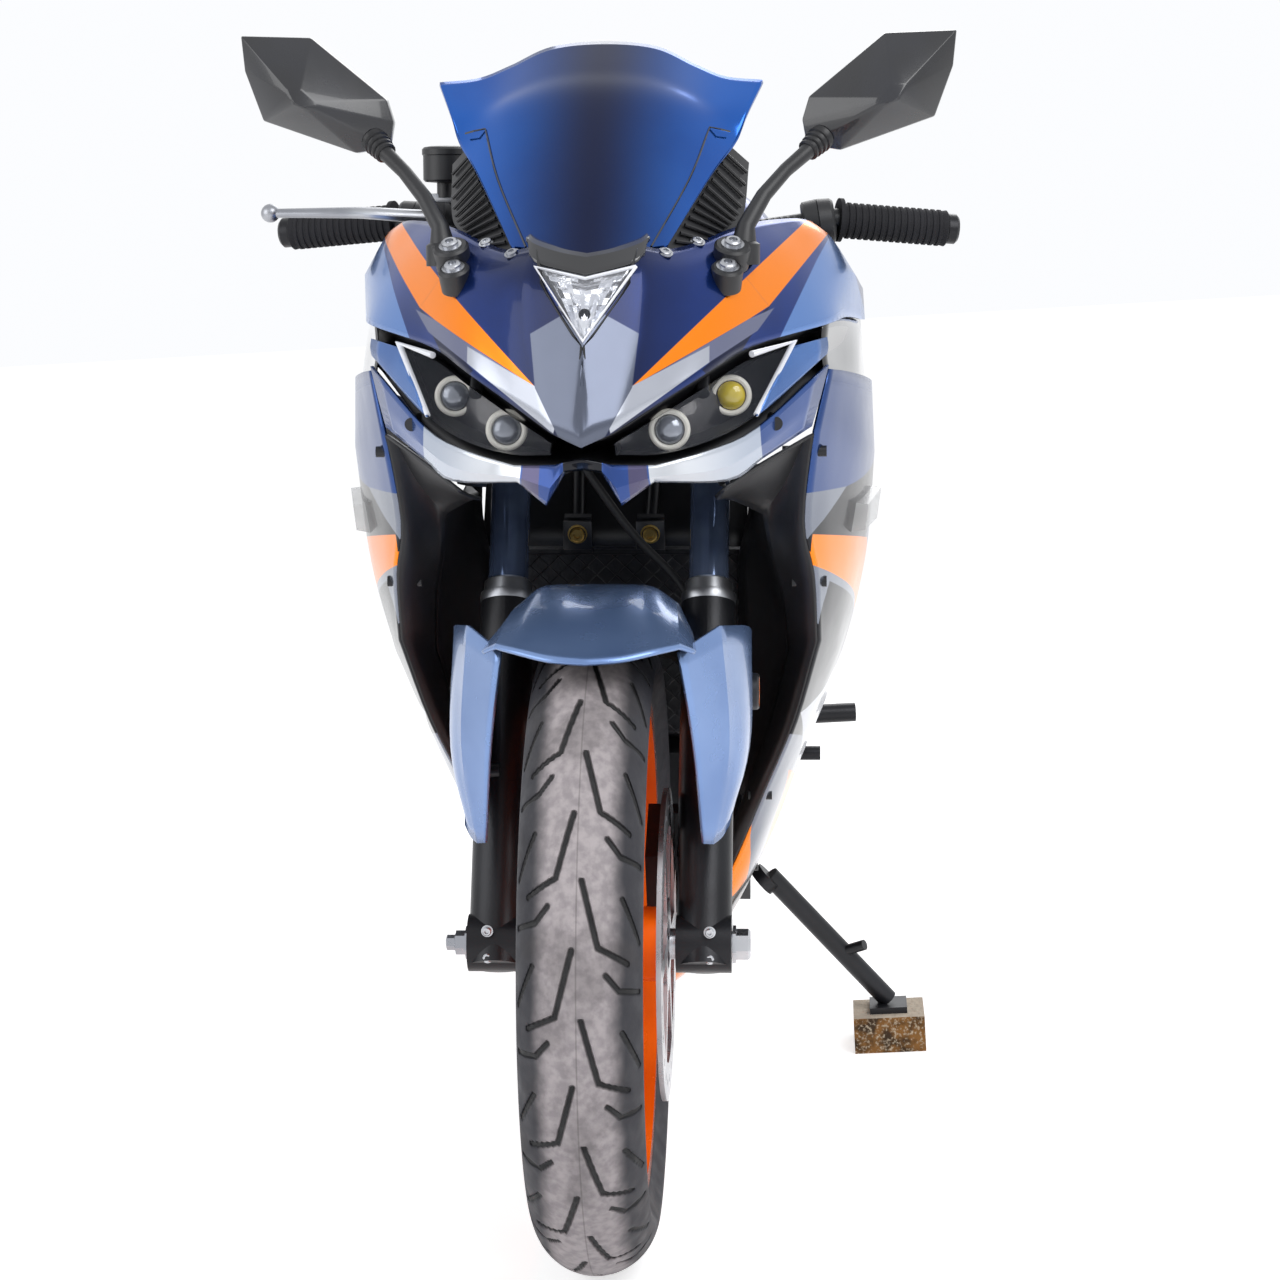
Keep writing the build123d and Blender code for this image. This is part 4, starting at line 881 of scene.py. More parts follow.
@dataclass
class Assembly:
    """A sub-assembly: the body that it rides on."""

    body: str = "chassis"

    def settle(
        self, shape: Shape, name: str, finishes: tuple, slot: str, replaces: tuple[str, ...] = (),
        wall: float = 0.0, inside: Point | None = None, sharp: float = 32.0, lined: bool = False,
    ) -> bpy.types.Object:
        """Finish a mesh as a piece of the machine.

        Args:
            shape: The mesh.
            name: The piece's name.
            finishes: Its finishes, in the order of its faces' slots.
            slot: The record's material slot; not used.
            replaces: The nodes that it stands for.
            wall: The thickness of an open sheet.
            inside: A point behind an open sheet.
            sharp: The fold from which an edge stays sharp, in degrees.
            lined: Whether the last finish is that of the sheet's inner face.

        Returns:
            The piece.
        """
        shape.weld()
        if inside is not None:
            shape.face_out(inside)
        bm = shape.bm
        for face in bm.faces:
            face.smooth = True
        for edge in bm.edges:
            edge.smooth = not (len(edge.link_faces) == 2 and edge.calc_face_angle() > radians(sharp))
        bm.transform(STANCE.parked())
        bm.normal_update()
        mesh = bpy.data.meshes.new(name)
        bm.to_mesh(mesh)
        bm.free()
        for finish in finishes:
            mesh.materials.append(finish.build())
        piece = bpy.data.objects.new(name, mesh)
        bpy.context.scene.collection.objects.link(piece)
        if wall:
            thicken = piece.modifiers.new("wall", "SOLIDIFY")
            thicken.thickness = wall * MM
            thicken.offset = -1.0
            thicken.use_even_offset = False
            thicken.material_offset = len(finishes) - 1 if lined else 0
        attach(piece, self.body)
        if replaces:
            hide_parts(*replaces)
        log.info("%s: %d faces", name, len(mesh.polygons))
        return piece

    def build(self) -> None:
        """Make the sub-assembly's pieces."""
        raise NotImplementedError


@dataclass
class Nose(Assembly):
    """The upper cowl with its beak, the chin below the lamps, the brow and the vents."""

    panel: float = 3.0
    upper: tuple = (
        [(790, 44, 924), (790, 44, 924), (790, 44, 924), (768, 67, 920), (735, 92, 926), (690, 122, 938), (630, 155, 945), (560, 190, 943), (445, 208, 915)],
        [(817, 37, 894), (817, 37, 894), (812, 48, 895), (784, 82, 895), (745, 115, 903), (700, 145, 910), (635, 176, 922), (558, 203, 932), (440, 222, 905)],
        [(852, 0, 838), (851, 3, 843), (832, 45, 845), (803, 82, 845), (765, 118, 860), (715, 152, 870), (640, 193, 888), (545, 224, 898), (432, 238, 880)],
        [(881, 0, 757), (876, 12, 762), (868, 26, 768), (830, 66, 793), (795, 104, 816), (742, 140, 836), (650, 204, 852), (560, 222, 856), (430, 240, 850)],
    )
    chin: tuple = (
        [(869, 0, 745), (866, 17, 743), (858, 24, 741), (835, 60, 739), (808, 104, 749), (757, 146, 766), (656, 206, 816)],
        [(852, 0, 736), (852, 15, 734), (850, 32, 706), (830, 58, 724), (772, 120, 721), (735, 149, 738), (669, 191, 762)],
    )
    brow: tuple = (
        [(784, 0, 919), (781, 22, 923), (776, 42, 929), (772, 50, 934)],
        [(803, 0, 914), (799, 22, 918), (792, 44, 925), (781, 53, 931)],
        [(812, 0, 899), (809, 22, 904), (806, 42, 910), (797, 49, 919)],
    )
    vent: tuple = (
        [(640, 116, 1012), (688, 96, 982), (722, 80, 952), (760, 66, 920)],
        [(616, 134, 996), (660, 130, 950), (696, 116, 934), (740, 88, 920)],
    )
    inside: Point = (560, 0, 830)

    def upper_cowl(self) -> None:
        """Make the painted upper cowl."""
        shape = Shape()
        shape.surface(list(self.upper), 5, creases=(2,), folds=(2,))
        shape.mirror()
        self.settle(shape, "upper_cowl", (NOSE_PAINT, BLACK_PLASTIC), "blue_paint", ("nose_cowl",), self.panel, self.inside, sharp=24, lined=True)

    def chin_panel(self) -> None:
        """Make the panel under the lamps, folded along its middle."""
        top, low = self.chin
        fold = [(0.5 * (a[0] + b[0]) + (6 if 0 < k < 6 else 0), 0.5 * (a[1] + b[1]), 0.5 * (a[2] + b[2]) - 2) for k, (a, b) in enumerate(zip(top, low))]
        shape = Shape()
        shape.surface([top, fold, low], 4, creases=(1,), folds=(1, 2, 3))
        shape.mirror()
        self.settle(shape, "chin_panel", (CHIN_PAINT,), "silver_plastic", ("chin_cowl",), self.panel, self.inside, sharp=14)

    def lamp_brow(self) -> None:
        """Make the black brow over the middle lamp."""
        shape = Shape()
        shape.surface(list(self.brow), 4, creases=(1,))
        shape.mirror()
        self.settle(shape, "brow", (GLOSS_BLACK,), "black_plastic", ("lamp_brow",), 4.0, self.inside)

    def vents(self) -> None:
        """Make the ribbed black panels beside the windscreen."""
        shape = Shape()
        upper, lower = self.vent
        shape.surface([list(upper), list(lower)], 8)
        ribs = []
        for step in range(1, 13):
            at = 3 * step / 13
            a, b = along(list(upper), at), along(list(lower), at)
            ribs += shape.swept([a + (b - a) * 0.12 + Vector((2, 1.5, 0)), a + (b - a) * 0.88 + Vector((2, 1.5, 0))], [1.6, 1.6], 6)
        shape.mirror()
        self.settle(shape, "vents", (BLACK_PLASTIC,), "black_plastic", ("vent_panels",), 0.0, (600, 0, 900))

    def screws(self) -> None:
        """Make the screws at the screen's foot."""
        shape = Shape()
        for x, y, z in ((774, 66, 917), (735, 92, 926)):
            shape.paint(shape.bolt((x, y, z), (0.5, 0.25, 0.83), 5.0, 3.0), 0)
        shape.mirror()
        self.settle(shape, "cowl_screws", (STEEL,), "steel")

    def build(self) -> None:
        """Make the nose's pieces."""
        self.upper_cowl()
        self.chin_panel()
        self.lamp_brow()
        self.vents()
        self.screws()


@dataclass
class Windscreen(Assembly):
    """The tall tinted screen."""

    thick: float = 4.0
    rows: tuple = (
        [(556, 0, 1108), (562, 48, 1103), (575, 84, 1086), (592, 112, 1074), (604, 146, 1070)],
        [(604, 0, 1080), (607, 44, 1076), (616, 80, 1062), (626, 106, 1048), (634, 133, 1040)],
        [(650, 0, 1052), (652, 42, 1049), (655, 76, 1040), (654, 100, 1026), (650, 124, 1014)],
        [(725, 0, 985), (723, 36, 983), (717, 64, 980), (706, 84, 980), (690, 104, 986)],
        [(792, 0, 916), (788, 22, 920), (781, 42, 922), (774, 54, 922), (766, 68, 924)],
        [(780, 0, 896), (776, 22, 898), (770, 42, 900), (764, 52, 900), (756, 64, 902)],
    )

    def build(self) -> None:
        """Make the screen in one smooth sheet, with a thin black seam near each side."""
        shape = Shape()
        rows = [[(x, -y, z) for x, y, z in reversed(row[1:])] + list(row) for row in self.rows]
        shape.surface(rows, 8, creases=(4,))
        self.settle(shape, "screen", (SCREEN_PAINT,), "blue_plastic", ("windscreen",), self.thick, (400, 0, 900))
        seam = Shape()
        for out in (1, -1):
            points = [along([row[3] for row in self.rows[2:5]], at / 6) for at in range(0, 13)]
            start = [Vector((652, 118, 1022)), Vector((656, 110, 1024))]
            seam.swept([(p.x + 1, out * p.y, p.z + 0.6) for p in start + points], [0.9] * 15, 6)
        self.settle(seam, "screen_seam", (GLOSS_BLACK,), "black_plastic")


@dataclass
class Lamps(Assembly):
    """The slanting headlamps with their projectors, and the middle lamp."""

    rows: tuple = (
        [(860, 27, 759), (824, 68, 783), (789, 106, 806), (736, 142, 826), (657, 203, 841)],
        [(859, 28, 754), (828, 68, 766), (798, 108, 784), (744, 146, 802), (657, 204, 833)],
        [(856, 28, 749), (828, 64, 748), (803, 106, 758), (752, 144, 777), (657, 203, 826)],
    )
    centre: tuple = (
        [(812, 0, 897), (809, 45, 909)],
        [(830, 0, 878), (822, 25, 880)],
        [(851, 0, 842), (850, 3, 843)],
    )
    strip: tuple = ((742, 139, 829), (693, 175, 838), (752, 143, 777))
    projectors: tuple = ((799, 70, 767), (736, 121, 793))
    ring_r: float = 18.0
    lens_r: float = 12.5
    deep: float = 58.0
    inside: Point = (600, 0, 790)

    def glass(self, out: int) -> Shape:
        """The lamp's whole outer sheet, before it is cut at its light guide.

        Args:
            out: The side, 1 for the left.

        Returns:
            The sheet.
        """
        shape = Shape()
        shape.surface(self.side(out), 6)
        return shape

    def side(self, out: int) -> Grid:
        """The lamp's rows on one side."""
        return [[(x, out * y, z) for x, y, z in row] for row in self.rows]

    def guide_normal(self, out: int) -> Vector:
        """The normal of the cut along the light guide, away from the middle."""
        start, end = Vector(self.strip[1]), Vector(self.strip[2])
        normal = (end - start).cross(Vector((1, 0, 0.2))).normalized()
        if normal.y < 0:
            normal = -normal
        return Vector((normal.x, out * normal.y, normal.z))

    def lamp(self, half: Half) -> None:
        """Make one headlamp: bowl, clear shell, projectors, rings and light guide.

        Args:
            half: The side.
        """
        out = half.value
        side = half.name.lower()
        corner = Vector((self.strip[2][0], out * self.strip[2][1], self.strip[2][2]))
        normal = self.guide_normal(out)
        inside = Vector(self.inside) + Vector((0, out * 60, 0))

        lens = self.glass(out)
        lens.cut(corner, normal)
        self.settle(lens, f"lamp_glass_{side}", (LAMP_GLASS,), "clear_lens", (f"headlamp_{side}",), 2.0, inside)

        bowl = self.glass(out)
        bowl.cut(corner, normal)
        rim = [edge for edge in bowl.bm.edges if edge.is_boundary]
        made = bmesh.ops.extrude_edge_only(bowl.bm, edges=rim)["geom"]
        fresh = {g for g in made if isinstance(g, bmesh.types.BMVert)}
        for vert in bowl.bm.verts:
            vert.co += Vector((-3, 0, 0)) if vert in fresh else Vector((-self.deep, 0, 0))
        self.settle(bowl, f"lamp_bowl_{side}", (LAMP_BOWL,), "black_plastic", (), 0.0, inside)

        cover = self.glass(out)
        cover.cut(corner, -normal)
        for vert in cover.bm.verts:
            vert.co += Vector((1.5, out * 1.5, 0))
        self.settle(cover, f"lamp_cover_{side}", (COVER_PAINT,), "blue_paint", (), 3.0, inside)

        guide = Shape()
        guide.swept([(x + 1, out * y, z) for x, y, z in self.strip], [3.0, 3.5, 2.5], 10)
        self.settle(guide, f"light_guide_{side}", (WHITE_GUIDE,), "clear_lens")

        for at, (x, y, z) in enumerate(self.projectors):
            unit = Shape()
            place = (x, out * y, z)
            ring = unit.turned([(-14, self.ring_r - 1), (-1, self.ring_r), (0.8, self.ring_r - 1), (1.2, self.ring_r - 2.5), (0.5, self.lens_r + 1), (-3, self.lens_r + 0.5)], place, (1, 0, 0.05), 40)
            dome = [(-3 + 7 * sin(a), self.lens_r * cos(a)) for a in (0, 0.3, 0.6, 0.9, 1.2, pi / 2)]
            glass = unit.turned(dome, place, (1, 0, 0.05), 40)
            unit.paint(ring, 0)
            unit.paint(glass, 1)
            tint = YELLOW_GLASS if out > 0 and at == 1 else GREY_GLASS
            self.settle(unit, f"projector_{side}_{'outer' if at else 'inner'}", (HALO, tint), "clear_lens")

    def middle_lamp(self) -> None:
        """Make the clear middle lamp with its faceted reflector."""
        shape = Shape()
        shape.surface(list(self.centre), 3, creases=(1,))
        shape.mirror()
        self.settle(shape, "middle_lamp", (LAMP_GLASS,), "clear_lens", ("centre_lamp",), 2.0, (700, 0, 860))
        back = Shape()
        back.surface([[(x - 8, y, z) for x, y, z in row] for row in self.centre], 6)
        for vert in back.bm.verts:
            vert.co.x += 2.5 * sin(vert.co.y * 0.9) * cos(vert.co.z * 0.5)
        back.mirror()
        self.settle(back, "middle_reflector", (REFLECTOR,), "clear_lens", (), 1.5, (700, 0, 860), sharp=12)
        rim = Shape()
        corners = [(812, 43, 906), (815, 0, 896), (812, -43, 906), (852, 0, 844), (812, 43, 906)]
        rim.swept(corners, [1.5] * 5, 8)
        self.settle(rim, "middle_lamp_rim", (WHITE_GUIDE,), "clear_lens")

    def build(self) -> None:
        """Make the lamps."""
        for half in Half:
            self.lamp(half)
        self.middle_lamp()


@dataclass
class Flanks(Assembly):
    """The side fairings, their black inner cowls and the belly pan."""

    panel: float = 3.0
    side: tuple = (
        [(649, 207, 812), (600, 222, 808), (520, 239, 800), (420, 247, 790), (310, 238, 778), (200, 210, 752)],
        [(663, 194, 757), (610, 214, 750), (520, 240, 738), (400, 250, 722), (280, 242, 704), (150, 214, 672)],
        [(628, 185, 674), (580, 207, 665), (500, 232, 652), (400, 244, 640), (260, 239, 618), (110, 214, 580)],
        [(595, 194, 622), (550, 210, 610), (480, 226, 596), (390, 233, 582), (240, 229, 545), (60, 207, 500)],
        [(549, 197, 556), (500, 207, 545), (440, 214, 530), (360, 214, 512), (200, 207, 462), (10, 192, 420)],
        [(504, 175, 473), (460, 181, 460), (400, 185, 446), (320, 183, 428), (160, 176, 382), (-20, 166, 345)],
        [(459, 146, 399), (420, 152, 382), (370, 154, 365), (290, 152, 345), (130, 149, 305), (-30, 146, 285)],
        [(396, 117, 323), (370, 123, 302), (335, 124, 285), (255, 122, 265), (110, 121, 245), (-30, 126, 240)],
        [(371, 87, 257), (350, 89, 236), (315, 88, 216), (230, 87, 201), (90, 90, 196), (-30, 96, 201)],
    )
    inner: tuple = (
        [(770, 117, 717), (764, 112, 712), (720, 106, 704), (655, 106, 698)],
        [(733, 145, 733), (728, 138, 728), (690, 131, 710), (640, 118, 697)],
        [(662, 192, 756), (656, 182, 748), (636, 166, 712), (606, 146, 680)],
        [(626, 184, 674), (620, 176, 668), (598, 164, 655), (568, 154, 640)],
        [(593, 193, 622), (586, 185, 617), (566, 174, 608), (538, 164, 598)],
        [(547, 196, 556), (541, 188, 553), (521, 178, 546), (498, 170, 540)],
        [(502, 174, 473), (496, 166, 470), (478, 158, 464), (455, 150, 458)],
        [(457, 145, 399), (451, 137, 396), (436, 130, 390), (416, 125, 384)],
        [(394, 116, 323), (388, 108, 320), (376, 102, 316), (360, 97, 311)],
        [(369, 86, 257), (364, 78, 254), (354, 74, 251), (342, 71, 249)],
    )
    belly: tuple = (
        [(345, 0, 192), (345, 40, 200), (362, 78, 240)],
        [(300, 0, 168), (308, 42, 172), (312, 80, 205)],
        [(200, 0, 156), (210, 44, 160), (228, 80, 192)],
        [(60, 0, 152), (70, 46, 156), (90, 82, 188)],
        [(-30, 0, 158), (-30, 50, 162), (-30, 88, 193)],
    )

    def build(self) -> None:
        """Make the flanks."""
        for half in Half:
            side = half.name.lower()
            turn = (lambda grid: list(grid)) if half is Half.LEFT else flipped
            flank = Shape()
            flank.surface(turn(self.side), 4, creases=(1, 4))
            self.settle(flank, f"flank_{side}", (SIDE_PAINT, BLACK_PLASTIC), "silver_plastic", (f"side_fairing_{side}",), self.panel, (300, 0, 500), sharp=20, lined=True)
            lining = Shape()
            lining.surface(turn(self.inner), 4, creases=(2, 5))
            self.settle(lining, f"lining_{side}", (BLACK_PLASTIC,), "black_plastic", (f"inner_cowl_{side}",), self.panel, (700, half.value * 400, 500), sharp=40)
        pan = Shape()
        pan.surface(list(self.belly), 5)
        pan.mirror()
        self.settle(pan, "lower_pan", (BELLY_PAINT,), "black_plastic", ("belly_pan",), self.panel, (150, 0, 400))


@dataclass
class FrontFender(Assembly):
    """The front fender: a hoop over the tyre, two ears, and a guard at each leg."""

    body: str = "steering"
    panel: float = 3.0
    crown: float = 322.0
    forward: float = 32.0
    back: float = 42.0
    guard: tuple = (
        [(800, 78, 575), (745, 112, 592), (650, 134, 580), (562, 134, 556)],
        [(778, 90, 490), (738, 119, 485), (690, 134, 475), (582, 134, 470)],
        [(757, 97, 400), (748, 105, 398), (736, 112, 402), (724, 118, 410)],
    )

    def hoop(self) -> None:
        """Make the hoop: a flared front lip, lower in the middle, and two raised ears."""
        outline = [(0, 3), (26, 1), (50, -4), (70, -14), (82, -38)]
        rows = []
        for step in range(9):
            share = step / 8
            row = []
            for at, (y, drop) in enumerate(outline):
                ear = 11 * exp(-(((y - 40) / 14) ** 2)) * exp(-(((share - 0.62) / 0.12) ** 2))
                angle = radians(-self.back + share * (self.back + self.forward - 9 * (y / 82) ** 2))
                flare = 1 + 0.13 * max(0.0, share - 0.6) / 0.4
                reach = self.crown + drop * (1 - 0.45 * max(0.0, share - 0.6) / 0.4) + ear + 4 * max(0.0, share - 0.85) / 0.15
                row.append((690 + reach * sin(angle), y * flare, 296 + reach * cos(angle)))
            rows.append(row)
        shape = Shape()
        shape.surface(rows, 5, folds=(3,))
        shape.mirror()
        self.settle(shape, "fender_hoop", (FENDER_PAINT, BLACK_PLASTIC), "blue_plastic", ("front_fender",), self.panel, (690, 0, 296), sharp=22, lined=True)

    def guards(self) -> None:
        """Make the pointed guards beside the legs."""
        for half in Half:
            shape = Shape()
            grid = list(self.guard) if half is Half.LEFT else flipped(self.guard)
            shape.surface(grid, 6, folds=(1,))
            self.settle(shape, f"leg_guard_{half.name.lower()}", (FENDER_PAINT,), "blue_plastic", (), self.panel, (650, 0, 480), sharp=14)
            lens = Shape()
            y = half.value * 134.2
            rim = lens.turned([(0, 0), (0, 17), (6, 17), (8, 15.5), (8, 14)], (600, y, 514), (0, half.value, 0), 32)
            face = lens.turned([(8, 14), (7, 13.5), (7.8, 8), (8, 0)], (600, y, 514), (0, half.value, 0), 32)
            lens.paint(rim, 0)
            lens.paint(face, 1)
            self.settle(lens, f"reflector_{half.name.lower()}", (BLACK_PLASTIC, AMBER), "black_plastic")

    def build(self) -> None:
        """Make the fender's pieces."""
        self.hoop()
        self.guards()


@dataclass
class Tyre(Assembly):
    """A road tyre with a cut tread."""

    body: str = "front_wheel"
    name: str = "front"
    hub: Point = (690, 0, 296)
    radius: float = 296.0
    width: float = 106.0
    rim_width: float = 84.0
    rim_r: float = 222.0
    flange: float = 8.0
    tread: float = 2.6
    across: int = 52
    round: int = 704

    def profile(self) -> list[tuple[float, float, float]]:
        """The outer outline: side, radius and share across."""
        rise = self.radius - (self.rim_r + 0.45 * (self.radius - self.rim_r))
        bend = ((self.width / 2) ** 2 + rise**2) / (2 * rise)
        reach = asin(min(1.0, self.width / 2 / bend)) if rise < bend else pi - asin(self.width / 2 / bend)
        points = []
        for step in range(self.across + 1):
            turn = reach * (2 * step / self.across - 1)
            points.append((bend * sin(turn), self.radius - bend + bend * cos(turn), 0.5 + 0.46 * turn / reach))
        edge = self.rim_width / 2
        shoulder = points[-1]
        wall = [
            (self.width / 2 - 1, shoulder[1] - 6, 0.968), ((self.width / 2 + edge) / 2, (shoulder[1] + self.rim_r + self.flange) / 2, 0.98),
            (edge + 1.5, self.rim_r + self.flange + 4, 0.99), (edge, self.rim_r + self.flange, 0.995), (edge - self.flange, self.rim_r + 2, 1.0),
        ]
        return [(-y, r, 1 - v) for y, r, v in reversed(wall)] + points + wall

    def depth(self, along_pitch: float, across: float) -> float:
        """How deep the tread is cut at a place, from 0 to 1."""
        if abs(across - 0.5) > 0.462:
            return 0.0
        gap = min(
            self.stroke(along_pitch + turn, across, start, end) for start, end in TYRE_RUBBER.grooves for turn in (0.0, 1.0)
        )
        return min(1.0, max(0.0, (TYRE_RUBBER.width * 1.3 - gap) / (TYRE_RUBBER.width * 0.5)))

    @staticmethod
    def stroke(along_pitch: float, across: float, start: tuple, end: tuple) -> float:
        """The distance from a place to a groove's line."""
        dx, dy = end[0] - start[0], (end[1] - start[1]) * TYRE_RUBBER.stretch
        px, py = along_pitch - start[0], (across - start[1]) * TYRE_RUBBER.stretch
        share = min(1.0, max(0.0, (px * dx + py * dy) / (dx * dx + dy * dy)))
        return ((px - share * dx) ** 2 + (py - share * dy) ** 2) ** 0.5

    def build(self) -> None:
        """Make the tyre by a spin, cut its tread and unroll its map."""
        shape = Shape()
        bm = shape.bm
        profile = self.profile()
        x0, _, z0 = self.hub
        verts = [bm.verts.new((x0, y, z0 + radius)) for y, radius, _ in profile]
        edges = [bm.edges.new(pair) for pair in zip(verts, verts[1:])]
        bmesh.ops.spin(bm, geom=verts + edges, cent=self.hub, axis=(0, 1, 0), angle=2 * pi, steps=self.round, use_merge=True)
        bmesh.ops.remove_doubles(bm, verts=bm.verts[:], dist=0.02)
        shares = {(round(y, 2), round(radius, 1)): share for y, radius, share in profile}
        layer = bm.loops.layers.uv.new("wrap")
        share_of = {}
        for vert in bm.verts:
            dx, dz = vert.co.x - x0, vert.co.z - z0
            radius = (dx * dx + dz * dz) ** 0.5
            share_of[vert] = (atan2(dx, dz) / (2 * pi) % 1.0, min(shares.items(), key=lambda item: abs(item[0][0] - vert.co.y) + abs(item[0][1] - radius))[1])
        for face in bm.faces:
            turns = [share_of[vert][0] for vert in face.verts]
            wraps = max(turns) - min(turns) > 0.5
            for loop in face.loops:
                turn, share = share_of[loop.vert]
                loop[layer].uv = (turn + 1 if wraps and turn < 0.5 else turn, share)
        known = {}
        for vert, (turn, share) in share_of.items():
            if abs(share - 0.5) < 0.462:
                pitch = round(turn * TYRE_RUBBER.pitches % 1.0, 4)
                key = (pitch, round(share, 4))
                if key not in known:
                    known[key] = self.depth(pitch, share)
                if known[key]:
                    out = Vector((vert.co.x - x0, vert.co.y * 0.4, vert.co.z - z0)).normalized()
                    vert.co -= out * self.tread * known[key]
        self.settle(shape, f"{self.name}_road_tyre", (TYRE_RUBBER,), "tyre_rubber", (f"{self.name}_tyre",), 0.0, None, sharp=75)


@dataclass
class Mirrors(Assembly):
    """The faceted mirrors on their tapered arms."""

    head: tuple = ((318, 1110), (255, 1108), (188, 1053), (182, 1033), (186, 1011), (216, 1006), (299, 1035), (315, 1079))
    crease: tuple = (262, 1050)
    arm: tuple = ((724, 131, 916), (721, 134, 940), (708, 149, 966), (690, 168, 988), (672, 185, 1003), (655, 200, 1018))
    arm_r: tuple = (13, 8, 7, 6.5, 7, 12)

    def shell(self, out: int) -> Shape:
        """One mirror's housing and glass."""
        shape = Shape()
        outline = [(640, out * y, z) for y, z in self.head]
        crease = Vector((686, out * self.crease[0], self.crease[1]))
        face = shape.bm.faces.new([shape.bm.verts.new(point) for point in outline])
        glass = bmesh.ops.inset_region(shape.bm, faces=[face], thickness=7, depth=0)
        rim = [edge for edge in shape.bm.edges if edge.is_boundary]
        for x, share in ((654, 1.0), (684, 0.2), (688, 0.1)):
            made = bmesh.ops.extrude_edge_only(shape.bm, edges=rim)["geom"]
            verts = [g for g in made if isinstance(g, bmesh.types.BMVert)]
            last = rim[0].verts[0].co.x
            for vert in verts:
                source = Vector((vert.co.x, vert.co.y, vert.co.z))
                at = min(range(8), key=lambda k: -(Vector((640, out * self.head[k][0], self.head[k][1])) - source).length * -1)
                home = Vector((0, out * self.head[at][0], self.head[at][1]))
                vert.co = Vector((x, crease.y + (home.y - crease.y) * share, crease.z + (home.z - crease.z) * share))
            rim = [g for g in made if isinstance(g, bmesh.types.BMEdge) and all(v in verts for v in g.verts)]
        bmesh.ops.contextual_create(shape.bm, geom=rim)
        shape.weld(0.2)
        shape.bevel(shape.bm.faces[:], 2.0, 2, 12.0)
        for back in shape.bm.faces:
            if back.calc_center_median().x < 640.5 and back.normal.x < -0.9 and back.calc_area() > 4000:
                back.material_index = 1
        return shape

    def stem(self, out: int) -> Shape:
        """One mirror's arm with its boots, base and bolts."""
        shape = Shape()
        shape.swept([(x, out * y, z) for x, y, z in self.arm], list(self.arm_r), 14)
        for at in range(4):
            t = at / 4
            a, b = Vector((672, out * 185, 1003)), Vector((655, out * 200, 1018))
            shape.turned([(-2, 8 + 2.5 * t), (-1, 10 + 3 * t), (1, 10 + 3 * t), (2, 8 + 2.5 * t)], a + (b - a) * (0.2 + 0.8 * t), b - a, 18)
        lean = Vector((0.5, out * 0.12, 0.86)).normalized()
        shape.turned([(-10, 15), (8, 15), (10, 12), (10, 0)], (724, out * 131, 916), (0, 0, 1), 24)
        bolts = []
        for (x, y, z), radius in (((738, 122, 918), 16), ((753, 118, 899), 14)):
            shape.turned([(-14, radius), (5, radius), (7, radius - 2), (7, 0)], (x, out * y, z), lean, 28)
            bolts += shape.bolt(Vector((x, out * y, z)) + lean * 7, lean, 7.5, 5)
        shape.paint(bolts, 1)
        return shape

    def build(self) -> None:
        """Make both mirrors."""
        for half in Half:
            side = half.name.lower()
            self.settle(self.shell(half.value), f"mirror_head_{side}", (MIRROR_BLACK, MIRROR_GLASS), "black_plastic", (f"mirror_{side}",), sharp=20)
            self.settle(self.stem(half.value), f"mirror_arm_{side}", (BLACK_PLASTIC, STEEL), "black_plastic")


